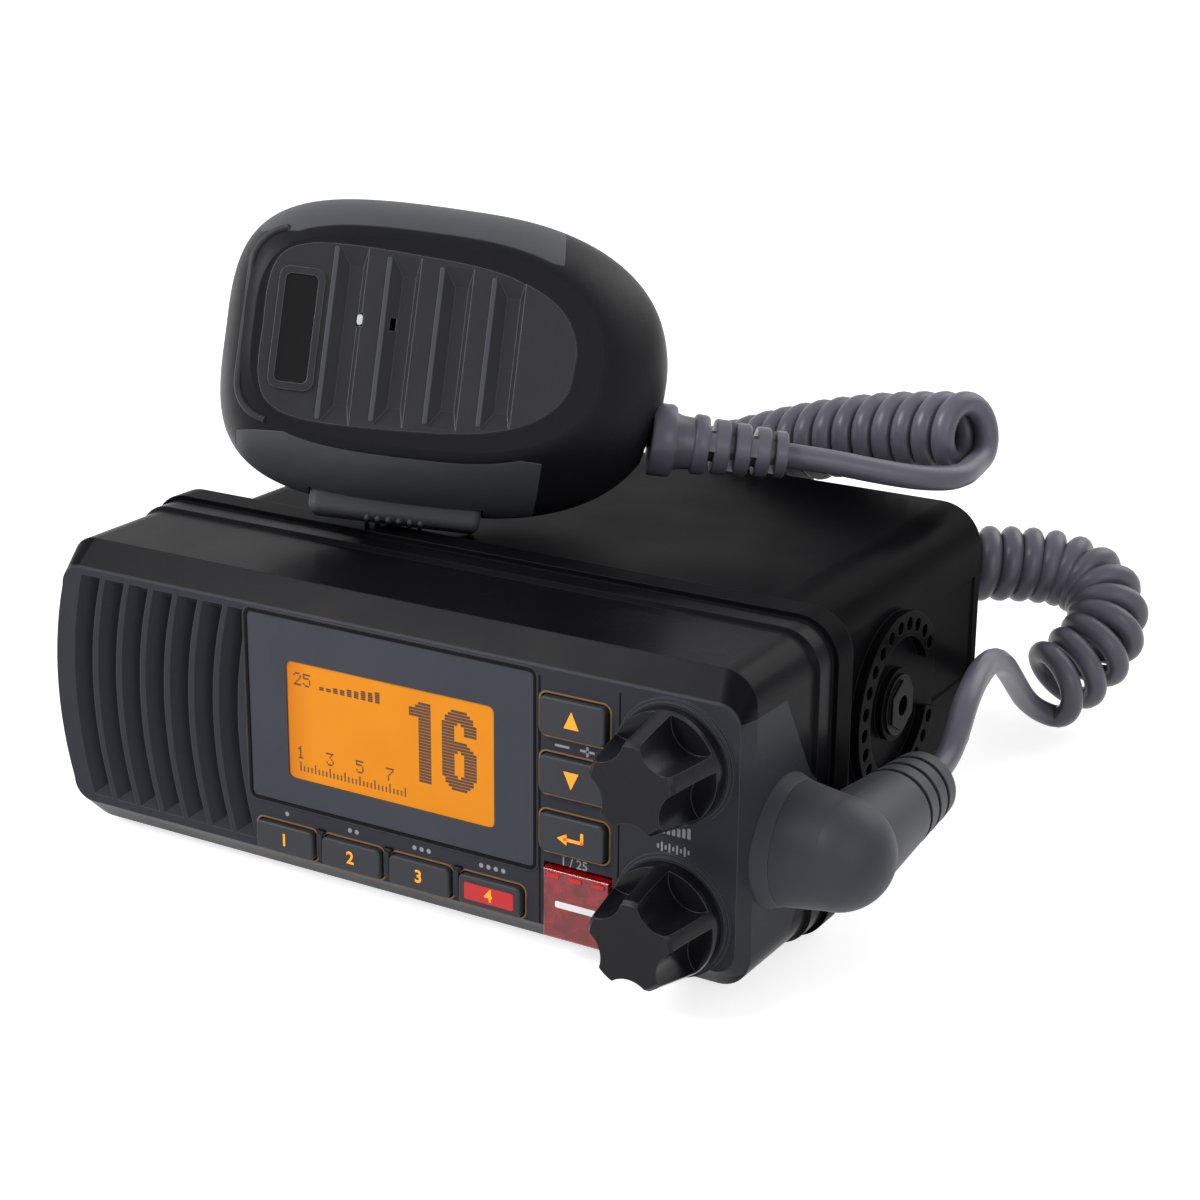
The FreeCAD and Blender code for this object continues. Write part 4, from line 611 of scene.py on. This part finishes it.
# ---------------------------------------------------------------- the case

# the radius of the case's long edges, how far their middles lie from its own middle, and
# between which places along Y its inside ledges are
CASE_CORNER, CASE_CORNER_X, CASE_CORNER_Z = 11.0, 71.5, 24.0
CASE_MIDDLE_Z, LEDGES = 37.5, (31, 41)
CORNER_TOLERANCE = 0.02


def make_case(materials):
    """The case, its inside screw ledges kept within the rounded edges of the outside."""
    node = NODES["rear_case"]
    mesh = node.data.copy()
    mesh.transform(node.matrix_world)
    for vertex in mesh.vertices:
        x, y, z = vertex.co / MM
        across, up = abs(x) - CASE_CORNER_X, abs(z - CASE_MIDDLE_Z) - CASE_CORNER_Z
        out = math.hypot(across, up)
        in_corner = min(across, up) > 0 and out > CASE_CORNER + CORNER_TOLERANCE
        if LEDGES[0] < y < LEDGES[1] and in_corner:
            pull = CASE_CORNER / out
            x = math.copysign(CASE_CORNER_X + across * pull, x)
            z = CASE_MIDDLE_Z + math.copysign(CASE_CORNER_Z + up * pull, z - CASE_MIDDLE_Z)
            vertex.co = mm(x, y, z)
    case = make_object("case", mesh, materials["case_paint"], "radio")
    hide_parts("rear_case")


# ---------------------------------------------------------------- the cord

WIRE_RADIUS = 3.0
LEAD = [(104, -29.5, 31.8), (104, -18.5, 32.3), (103.4, -10, 36.8), (102.4, -2.5, 43.4),
        (99.8, 12, 45.4), (96.9, 27, 43), (93.2, 43, 36.4), (89.6, 58, 28.2), (86.8, 71, 20.2),
        (85.4, 82, 12.4), (86.6, 89.6, 7.2)]
COIL_LOWER = [(86, 89.3, 12.4), (89.6, 96, 14.8), (93.8, 102.6, 19.2), (96, 108.4, 23.8),
              (95.8, 113.4, 27.9), (93.2, 117.7, 31.8), (88.4, 120.5, 34.9), (81.4, 120.9, 37),
              (73.2, 117.6, 38.4), (58, 107, 39.2)]
COIL_REAR = [(58, 107, 39.2), (44, 96.8, 38), (30, 87.4, 34.5), (14.5, 79, 30.5), (0.5, 74, 28.5),
             (-11, 71.5, 33.5), (-17, 71, 43), (-16.5, 70.2, 54), (-9.5, 69.3, 63)]
COIL_UPPER = [(-9.5, 69.3, 63), (1.5, 68, 68.6), (13, 66, 73.2), (26.5, 63.3, 78.3),
              (41.7, 60.2, 83.1), (59.6, 57.7, 87.3), (77.9, 54.2, 90.1)]
TAIL = [(48, 10.9, 89.9), (56.5, 16.5, 88.4), (66, 23.4, 85.7), (75, 31.4, 83.3),
        (80.6, 40.6, 82.3)]
# along the coil: how far apart its turns lie there, and the radius of their middle line
TURN_SPACING = [(0, 9.2), (10, 8.6), (18, 7.4), (26, 6.3), (34, 5.8), (62, 5.7), (80, 6),
                (110, 6.4), (190, 6.4), (215, 6.1), (300, 6.1)]
TURN_RADIUS = [(0, 8.8), (16, 8.6), (34, 7.9), (52, 7.5), (300, 7.4)]
STEPS_PER_TURN = 14
# the lead runs into the first turn past this many of its points
LEAD_MEETS = 4
# how far apart the finished wire's rings are, and how many sides they have
WIRE_STEP, WIRE_SIDES = 1.6, 14


def spline_points(name, route, resolution):
    """The smooth line of a route, in metres: its points control a NURBS spline."""
    curve = bpy.data.curves.new(name, "CURVE")
    curve.dimensions = "3D"
    spline = curve.splines.new("NURBS")
    spline.points.add(len(route) - 1)
    for point, place_at in zip(spline.points, route):
        point.co = (*place_at, 1)
    spline.order_u = 3
    spline.use_endpoint_u = True
    curve.resolution_u = resolution
    holder = bpy.data.objects.new(name, curve)
    bpy.context.scene.collection.objects.link(holder)
    bpy.context.view_layer.update()
    seen = holder.evaluated_get(bpy.context.evaluated_depsgraph_get())
    mesh = bpy.data.meshes.new_from_object(seen)
    points = np.array([v.co for v in mesh.vertices])
    bpy.data.objects.remove(holder)
    return points


def evenly(points, step):
    """The same line as points a step apart, and how far along each is."""
    along = np.concatenate([[0], np.cumsum(np.linalg.norm(np.diff(points, axis=0), axis=1))])
    count = max(2, int(round(along[-1] / step)) + 1)
    at = np.linspace(0, along[-1], count)
    return np.column_stack([np.interp(at, along, points[:, k]) for k in range(3)]), at


def travelling_frames(points, first_side):
    """Directions along a line and two sides that turn with it as little as they can."""
    along = np.gradient(points, axis=0)
    along /= np.linalg.norm(along, axis=1)[:, None]
    side = np.array(first_side, float)
    sides = []
    for direction in along:
        side = side - direction * side.dot(direction)
        side /= np.linalg.norm(side)
        sides.append(side)
    sides = np.array(sides)
    return along, sides, np.cross(along, sides)


def coil_turns(axis):
    """The wire's control points in the coil: left-handed turns about the coil's own line.

    The first is a quarter turn from the coil's bottom, and the last is at the bottom."""
    fine, at = evenly(axis, 0.25 * MM)
    along, side, third = travelling_frames(fine, (0, 0, -1))
    spacing = np.interp(at / MM, *zip(*TURN_SPACING)) * MM
    radius = np.interp(at / MM, *zip(*TURN_RADIUS)) * MM
    angle = np.concatenate([[0], np.cumsum(np.diff(at) / spacing[1:])]) * 2 * math.pi
    down = np.array((0, 0, -1.0))
    down -= along[-1] * down.dot(along[-1])
    last = math.atan2(-down.dot(third[-1]), down.dot(side[-1]))
    turns = round((angle[-1] - last) / (2 * math.pi))
    angle *= (last + 2 * math.pi * turns + math.pi / 2) / angle[-1]
    angle -= math.pi / 2
    count = int((angle[-1] - angle[0]) / (2 * math.pi) * STEPS_PER_TURN)
    wanted = np.linspace(angle[0], angle[-1], count)
    corner_room = math.cos(math.pi / STEPS_PER_TURN) ** 0.5
    reach = np.interp(wanted, angle, radius) / corner_room

    def sampled(values):
        return np.column_stack([np.interp(wanted, angle, values[:, k]) for k in range(3)])
    return (sampled(fine) + sampled(side) * (reach * np.cos(wanted))[:, None]
            - sampled(third) * (reach * np.sin(wanted))[:, None])


def tube_mesh(name, path, radius, sides):
    """A closed tube round a line of points; the line and the radius are in metres."""
    _, side, third = travelling_frames(path, (0, 0.3, 1))

    def build(work):
        rows = []
        for centre, s, t in zip(path, side, third):
            ring = []
            for k in range(sides):
                a = 2 * math.pi * k / sides
                ring.append(work.verts.new(centre + (s * math.cos(a) + t * math.sin(a)) * radius))
            rows.append(ring)
        join_solid(work, rows)
    mesh = mesh_of(name, build)
    shade_smooth(mesh, 60)
    return mesh


def metres(route):
    return [tuple(mm(*point)) for point in route]


def make_cord(materials):
    axis = spline_points("coil_line", metres(COIL_LOWER + COIL_REAR[1:] + COIL_UPPER[1:]), 16)
    turns = [tuple(point) for point in coil_turns(axis)[LEAD_MEETS:]]
    route = metres(LEAD) + turns + metres(reversed(TAIL))
    path = spline_points("cord_line", route, 6)
    path, _ = evenly(path, WIRE_STEP * MM)
    mesh = tube_mesh("coiled_cord", path, WIRE_RADIUS * MM, WIRE_SIDES)
    cord = make_object("coiled_cord", mesh, materials["cord_sheath"], None)
    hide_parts("cord_lead", "cord_coil_lower", "cord_coil_rear", "cord_coil_upper",
                "cord_tail")
    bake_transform(cord)


# ---------------------------------------------------------------- the front's small parts


def spot(node):
    """A node's middle across the front and its width and height there, in millimetres."""
    low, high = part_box(node)
    middle, size = (low + high) / 2 / MM, (high - low) / MM
    return middle.x, middle.z, size.x, size.z


def prism_piece(name, loops, front, back, material, body, edge=0.0):
    """Thin raised shapes, each a loop of points round its own middle."""
    def build(work):
        for loop, centre in loops:
            add_prism(work, loop, centre, front, back, edge)
    return make_object(name, mesh_of(name, build), material, body)


def bar(width, height, corner=None):
    return rounded_loop(width, height, min(width, height) * 0.3 if corner is None else corner, 3)


# the big numerals: dots from and to, row by row from the top
BIG_ONE = [[(3, 7)], [(2, 7)], [(0, 7)], [(0, 7)], [(0, 7)]] + [[(3, 7)]] * 21
BIG_SIX = ([[(3, 8)], [(2, 9)], [(1, 10)], [(1, 10)], [(0, 5), (6, 11)], [(0, 4), (7, 11)]]
           + [[(0, 4), (7, 11)]] * 2 + [[(0, 4)]] * 2
           + [[(0, 8)], [(0, 9)], [(0, 10)], [(0, 5), (6, 11)]] + [[(0, 4), (7, 11)]] * 7
           + [[(0, 5), (6, 11)], [(1, 10)], [(1, 10)], [(2, 9)], [(3, 8)]])
# the small numerals, five dots wide: each row as a binary number
SMALL_DIGITS = {"1": (4, 12, 4, 4, 4, 4, 14), "2": (14, 17, 1, 2, 4, 8, 31),
                "3": (31, 2, 4, 2, 1, 17, 14), "5": (31, 16, 30, 1, 1, 17, 14),
                "7": (31, 1, 2, 4, 8, 8, 8)}
# width and height of a dot with its gap
BIG_DOT, SMALL_DOT, DOT_GAP, DOT_FILL = (0.82, 0.72), (0.42, 0.44), 0.04, 0.84
# how many there are, how far apart, and how far their feet lie below the display's top
SCALE_MARKS, SCALE_PITCH, SCALE_FOOT = 29, 1.025, 26.0
LEVEL_BARS, LEVEL_PITCH, LEVEL_FOOT = 9, 1.9, 5.5


def small_rows(digit):
    """The digit's rows as runs of dots."""
    return [[(k, k + 1) for k in range(5) if bits >> (4 - k) & 1] for bits in SMALL_DIGITS[digit]]


def add_dots(work, rows, dot, left, top, front):
    """Rows of display dots, each run of them one thin bar."""
    wide, tall = dot
    for index, runs in enumerate(rows):
        z = top - (index + 0.5) * tall
        for start, end in runs:
            width, height = (end - start) * wide - DOT_GAP, tall * DOT_FILL
            corners = [(width / 2, height / 2), (-width / 2, height / 2),
                       (-width / 2, -height / 2), (width / 2, -height / 2)]
            middle = left + (start + end) / 2 * wide
            add_prism(work, corners, (middle, z), front - 0.03, front + 0.03)


def make_screen(materials):
    """Plain figures on the lit display: a big number, a small one, a level and a scale."""
    x, z, width, height = spot("lcd_lens")
    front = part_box("lcd_lens")[0].y / MM
    left, top = x - width / 2, z + height / 2

    def figures(work):
        def put(rows, dot, across, down):
            add_dots(work, rows, dot, left + across, top - down, front)
        put(BIG_ONE, BIG_DOT, 0.60 * width, 0.1 * height)
        put(BIG_SIX, BIG_DOT, 0.755 * width, 0.1 * height)
        for i, digit in enumerate("25"):
            put(small_rows(digit), SMALL_DOT, 1.9 + 2.6 * i, 2.4)
        for i, digit in enumerate("1357"):
            put(small_rows(digit), SMALL_DOT, 2.2 + 8.2 * i, 20.0)
        for i in range(SCALE_MARKS):
            rows = [[(0, 1)]] * (5 if i % 4 == 0 else 3)
            put(rows, SMALL_DOT, 3 + SCALE_PITCH * i, SCALE_FOOT - SMALL_DOT[1] * len(rows))
        for i in range(LEVEL_BARS):
            rows = [[(0, 3)]] * (i // 2 + 2)
            put(rows, SMALL_DOT, 9 + LEVEL_PITCH * i, LEVEL_FOOT - SMALL_DOT[1] * len(rows))
    make_object("screen_figures", mesh_of("screen_figures", figures), materials["screen_dots"],
                "radio")


def triangle(width, height, up):
    tip = height / 2 if up else -height / 2
    return [(-width / 2, -tip), (width / 2, -tip), (0, tip)]


LOW_KEYS = ("key_one", "key_two", "key_three", "key_four")
KEYS = ("key_up", "key_down", "key_enter", *LOW_KEYS)
KEY_LIP = 0.7
# how proud of the last key its red insert stands
INSERT_PROUD = 0.12


def make_key_legends(materials):
    """Two arrowheads, a turned arrow and the numbers 1 to 4, lit, on the keys' fronts."""
    lit, thick = materials["legend"], 0.05
    for key, up in (("key_up", True), ("key_down", False)):
        x, z = spot(key)[:2]
        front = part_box(key)[0].y / MM
        prism_piece(key + "_legend", [(triangle(3.7, 3.9, up), (x, z + (0.2 if up else -0.2)))],
                    front - thick, front + 0.1, lit, key + "_cap")
    x, z = spot("key_enter")[:2]
    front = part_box("key_enter")[0].y / MM
    prism_piece("key_enter_legend", [(bar(5.0, 0.75), (x + 0.6, z - 0.5)),
                                     (bar(0.75, 2.6), (x + 2.75, z + 0.45)),
                                     ([(1.2, -1.3), (1.2, 1.3), (-1.2, 0)], (x - 2.2, z - 0.5))],
                front - thick, front + 0.1, lit, "key_enter_cap")
    for number, key in enumerate(LOW_KEYS, start=1):
        x, z = spot(key)[:2]
        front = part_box(key)[0].y / MM
        if key == "key_four":
            prism_piece("key_four_insert", [(rounded_loop(12.8, 4.0, 0.5), (x, z))],
                        front - INSERT_PROUD, front + 0.3, materials["glowing_red"],
                        "key_four_cap", 0.08)
            front -= INSERT_PROUD
        mesh = place(text_mesh(key + "_legend", str(number), 3.0, 0.2, 0.09), x, front + 0.05, z)
        make_object(key + "_legend", mesh, lit, key + "_cap")


def key_size(key):
    """A key's middle, and its cap's width and height: the node's less the lip on each side."""
    x, z, width, height = spot(key)
    return x, z, width - 2 * KEY_LIP, height - 2 * KEY_LIP


def make_key_outlines(materials):
    """A thin amber line round each key."""
    def build(work):
        for key in KEYS:
            x, z, width, height = key_size(key)
            inner = rounded_loop(width + 0.75, height + 0.75, 1.7)
            outer = rounded_loop(width + 1.55, height + 1.55, 2.1)
            add_ring(work, outer, inner, (x, z), FACE - 0.05, FACE + 0.2)
    make_object("key_outlines", mesh_of("key_outlines", build), materials["amber_line"], "radio")


def make_key_tabs(materials):
    """The little upright ribs moulded between the four low keys."""
    places = [spot(key)[0] for key in LOW_KEYS]
    z = spot("key_one")[1]
    ribs = [(rounded_loop(1.5, 6.4, 0.5, 3), ((a + b) / 2 + 0.1, z + 0.4))
            for a, b in zip(places, places[1:])]
    caps = [(rounded_loop(2.3, 1.0, 0.4, 3), ((a + b) / 2 + 0.5, z + 4.1))
            for a, b in zip(places, places[1:])]
    prism_piece("key_ribs", ribs, FACE - 0.75, FACE + 0.3, materials["bezel_plastic"], "radio",
                0.3)
    prism_piece("key_rib_caps", caps, FACE - 0.9, FACE + 0.3, materials["gloss_black"], "radio",
                0.3)


# round the window: each frame's name and finish, how much wider than the window it is and its
# corner, outside and inside, and how proud of the face it stands
WINDOW_FRAMES = (("window_seal", "gasket_rubber", ((1.5, 1.8), (0.1, 1.2)), 0.22),
                 ("window_rim", "bezel_plastic", ((2.5, 2.3), (1.6, 1.8)), 0.14))


def make_front_lines(materials):
    """The seal and rim round the window, and a dark strip of painted shade in each upright crease
    beside the keys.
    """
    x, z, width, height = spot("window_frame")
    for name, look, sizes, proud in WINDOW_FRAMES:
        outer, inner = (rounded_loop(width + more, height + more, corner)
                        for more, corner in sizes)
        mesh = mesh_of(name, lambda work: add_ring(work, outer, inner, (x, z), FACE - proud,
                                                   FACE + 0.3))
        make_object(name, mesh, materials[look], "radio")
    # each upright crease gets a near-black strip of gasket rubber as its painted shade
    crease_shadows = [(bar(0.4, 57, 0.1), (42.6, 36.2)), (bar(0.4, 57, 0.1), (62.0, 36.2))]
    prism_piece("front_crease_shadows", crease_shadows, FACE - 0.03, FACE + 0.2, materials["gasket_rubber"],
                "radio")


def make_prints(materials):
    """Plain grey marks and numerals where the front is printed."""
    thick, back = 0.03, 0.1
    loops = []
    for count, key in enumerate(LOW_KEYS, start=1):
        x, z, _, height = key_size(key)
        for i in range(count):
            across = x + (i - (count - 1) / 2) * 1.9
            loops.append((bar(1.1, 1.1, 0.5), (across, z + height / 2 + 2.6)))
    x = spot("key_up")[0]
    halfway = (spot("key_up")[1] + spot("key_down")[1]) / 2
    loops.append((bar(3.6, 0.55), (x - 3.1, halfway)))
    loops.append((bar(3.6, 0.55), (x + 3.1, halfway)))
    loops.append((bar(0.55, 2.3), (x + 3.1, halfway)))
    knob_x = spot("volume_knob")[0]
    middle = (spot("volume_knob")[1] + spot("squelch_knob")[1]) / 2
    for i in range(7):
        tall = 0.6 + 0.3 * i
        loops.append((bar(0.8, tall), (knob_x - 3.6 + 1.2 * i, middle + 0.7 + tall / 2)))
    for i in range(9):
        tall = (1.0, 2.1)[i % 2]
        loops.append((bar(0.45, tall), (knob_x - 3.6 + 0.9 * i, middle - 2.3)))
    prism_piece("front_marks", loops, FACE - thick, FACE + back, materials["grey_print"], "radio")
    x, z, _, height = key_size("key_enter")
    mesh = text_mesh("power_numerals", "1 / 25", 2.1, 0.12, 0.03)
    make_object("power_numerals", place(mesh, x, FACE + 0.03, z - height / 2 - 2.1),
                materials["grey_print"], "radio")


def make_lid_details(materials):
    """Hinge lugs, glowing a little as painted light, and a plain white bar on the red lid."""
    low, high = (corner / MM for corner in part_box("distress_cover"))
    x, width = (low.x + high.x) / 2, high.x - low.x
    # the lugs take the glowing red: their brightness is painted light
    lugs = [(bar(3.2, 1.1), (x + dx, high.z - 1.6)) for dx in (-5.6, 0, 5.6)]
    prism_piece("lid_lugs", lugs, low.y - 0.25, low.y + 0.3, materials["glowing_red"],
                "distress_lid", 0.15)
    prism_piece("lid_mark", [(bar(width * 0.62, 1.5, 0.4), (x, low.z + 8.2))], low.y - 0.04,
                low.y + 0.2, materials["white_print"], "distress_lid")


# ---------------------------------------------------------------- the microphone's small parts

# how the microphone stands, its angles in degrees
MIC_MIDDLE = mm(-11, -44, 119)
MIC_YAW, MIC_TILT, MIC_LEAN = (math.radians(a) for a in (36, 8, 22))


def mic_frame():
    """From the microphone's own axes to the row frame: along, across, out of its face."""
    flat = Vector((math.cos(MIC_YAW), math.sin(MIC_YAW), 0))
    out = Vector((math.sin(MIC_YAW), -math.cos(MIC_YAW), 0))
    up = Vector((0, 0, 1))
    across = up * math.cos(MIC_LEAN) - out * math.sin(MIC_LEAN)
    normal = out * math.cos(MIC_LEAN) + up * math.sin(MIC_LEAN)
    u = flat * math.cos(MIC_TILT) - across * math.sin(MIC_TILT)
    v = flat * math.sin(MIC_TILT) + across * math.cos(MIC_TILT)
    return Matrix.Translation(MIC_MIDDLE) @ Matrix((u, v, normal)).transposed().to_4x4()


# from a piece drawn as on the front, along X and Z, to the microphone's own axes
FACE_TO_MIC = Matrix(((1, 0, 0, 0), (0, 0, 1, 0), (0, -1, 0, 0), (0, 0, 0, 1)))


def mic_piece(name, build, material, body):
    """A piece drawn as on the front: x along the microphone, z across it, -y out of its face."""
    mesh = mesh_of(name, build)
    mesh.transform(mic_frame() @ FACE_TO_MIC)
    return make_object(name, mesh, material, body)


# the cord relief, along the microphone from inside its end: (x, radius), then the flights'
# (start, end, radius), the core between them, its line, and the ties' width and half height
RELIEF_PROFILE = [(49.5, 5.8), (49.6, 8.2), (50.2, 8.7), (54.4, 8.7), (55.2, 8.2), (55.4, 6.9),
                  (57.0, 6.4), (59.6, 6.2), (59.9, 6.9), (60.5, 7.2), (62.6, 7.1), (63.2, 6.7)]
RELIEF_FLIGHTS = [(64.6, 68.3, 6.6), (69.7, 73.3, 6.3), (74.7, 78.1, 6.0), (79.4, 82.2, 5.6)]
RELIEF_CORE, RELIEF_LINE = 3.7, (20.0, -12.0)
FLIGHT_CHAMFER, TIE_WIDTH, TIE_HALF = 0.4, 1.9, 2.2


def make_relief(materials):
    """The collar, neck and four flights of the sleeve, tied to each other on alternate sides."""
    y, z = RELIEF_LINE
    profile = list(RELIEF_PROFILE)
    for start, end, radius in RELIEF_FLIGHTS:
        low = radius - FLIGHT_CHAMFER
        profile += [(profile[-1][0], RELIEF_CORE), (start, RELIEF_CORE), (start, low),
                    (start + FLIGHT_CHAMFER, radius), (end - FLIGHT_CHAMFER, radius), (end, low)]

    def build(work):
        add_lathe(work, profile, RELIEF_LINE)
        for i, (start, _, radius) in enumerate(RELIEF_FLIGHTS):
            reach, middle = radius - 0.5, (start - 0.7, z)
            tall, deep = (reach, TIE_HALF) if i % 2 else (TIE_HALF, reach)
            add_prism(work, rounded_loop(TIE_WIDTH, 2 * tall, 0.3, 2), middle, y - deep, y + deep)
    relief = mic_piece("relief", build, materials["cord_sheath"], "microphone")
    shade_smooth(relief.data, 40)
    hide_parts("mic_relief")


# places on the microphone are along and across it, depths are into its face
LOUVRES, LOUVRE_FIRST, LOUVRE_PITCH = 4, -27.8, 12.1
LOUVRE_HALF, LOUVRE_SHORTER = 20, 0.9
BADGE_AT, LAMP_AT = (-34.75, 0), (-20.85, 3.9)
# the bead follows this part of a rounded line round the plate's end
BEAD_LINE, BEAD_PART, BEAD_AT, BEAD_RADIUS = (20, 45, 9, 8), slice(10, 26), (-36.6, 1), 0.9
TALK_RIBS, TALK_RIB_PITCH, TALK_RIBS_AT, TALK_RIB_DEPTH = 6, 2.5, (-8.0, -39.0), (14.9, 25.1)
MIC_FRONT = ("mic_front_shell", "mic_face_plate", "mic_grip_upper", "mic_grip_lower")
RAY_START = 30


def on_mic_face(route):
    """Where points given along and across the microphone meet the front of its shell."""
    trees = []
    for name in MIC_FRONT:
        node = NODES[name]
        corners = [node.matrix_world @ v.co for v in node.data.vertices]
        trees.append(BVHTree.FromPolygons(corners, [p.vertices for p in node.data.polygons]))
    place_of = mic_frame()
    outward = place_of.to_3x3() @ Vector((0, 0, 1))
    hits = []
    for x, z in route:
        start = place_of @ mm(x, z, RAY_START)
        found = [tree.ray_cast(start, -outward)[0] for tree in trees]
        hits.append(min((hit for hit in found if hit is not None),
                        key=lambda hit: (hit - start).length))
    return hits


def make_mic_details(materials):
    """The badge's rim, the plate's bead, the louvres' ridges, the lamp and the talk bar's ribs."""
    # the plate's paler finish on the badge rim and bead is a painted sheen
    edge, plate = materials["grip_rubber"], materials["mic_plate_lit"]

    def badge_rim(work):
        add_ring(work, rounded_loop(10.4, 28.2, 2.4), rounded_loop(7.3, 24.8, 1.3), BADGE_AT,
                 -0.6, 0.4)
    mic_piece("badge_rim", badge_rim, plate, "microphone")

    route = [(x + BEAD_AT[0], z + BEAD_AT[1]) for x, z in rounded_loop(*BEAD_LINE)[BEAD_PART]]
    bead = tube_mesh("plate_bead", np.array(on_mic_face(route)), BEAD_RADIUS * MM, 10)
    make_object("plate_bead", bead, plate, "microphone")

    # ridges in the paler grip rubber: raised relief, their paleness a painted highlight on the
    # louvres' lit slopes
    def ridges(work):
        for i in range(LOUVRES):
            loop = rounded_loop(1.1, 2 * (LOUVRE_HALF - LOUVRE_SHORTER * i), 0.4, 2)
            add_prism(work, loop, (LOUVRE_FIRST + LOUVRE_PITCH * i, 0), -0.35, 0.3, 0.25)
    mic_piece("louvre_ridges", ridges, edge, "microphone")

    def lamp(work):
        add_prism(work, bar(1.3, 2.4, 0.6), LAMP_AT, 0.2, 1.4)
    mic_piece("call_lamp", lamp, materials["white_plastic"], "microphone")

    def ribs(work):
        x, z = TALK_RIBS_AT
        for i in range(TALK_RIBS):
            across = x + TALK_RIB_PITCH * (i - (TALK_RIBS - 1) / 2)
            add_prism(work, rounded_loop(1.2, 1.6, 0.5, 3), (across, z), *TALK_RIB_DEPTH, 0.4)
    mic_piece("talk_bar_ribs", ribs, edge, "talk_bar")


# ---------------------------------------------------------------- all together

bpy.context.scene.view_settings.view_transform = "Standard"
make_camera()
make_stage()
materials = make_materials()
dress_nodes(materials)
make_case(materials)
make_cord(materials)
make_screen(materials)
make_key_legends(materials)
make_key_outlines(materials)
make_key_tabs(materials)
make_front_lines(materials)
make_prints(materials)
make_lid_details(materials)
make_mic_details(materials)
make_relief(materials)
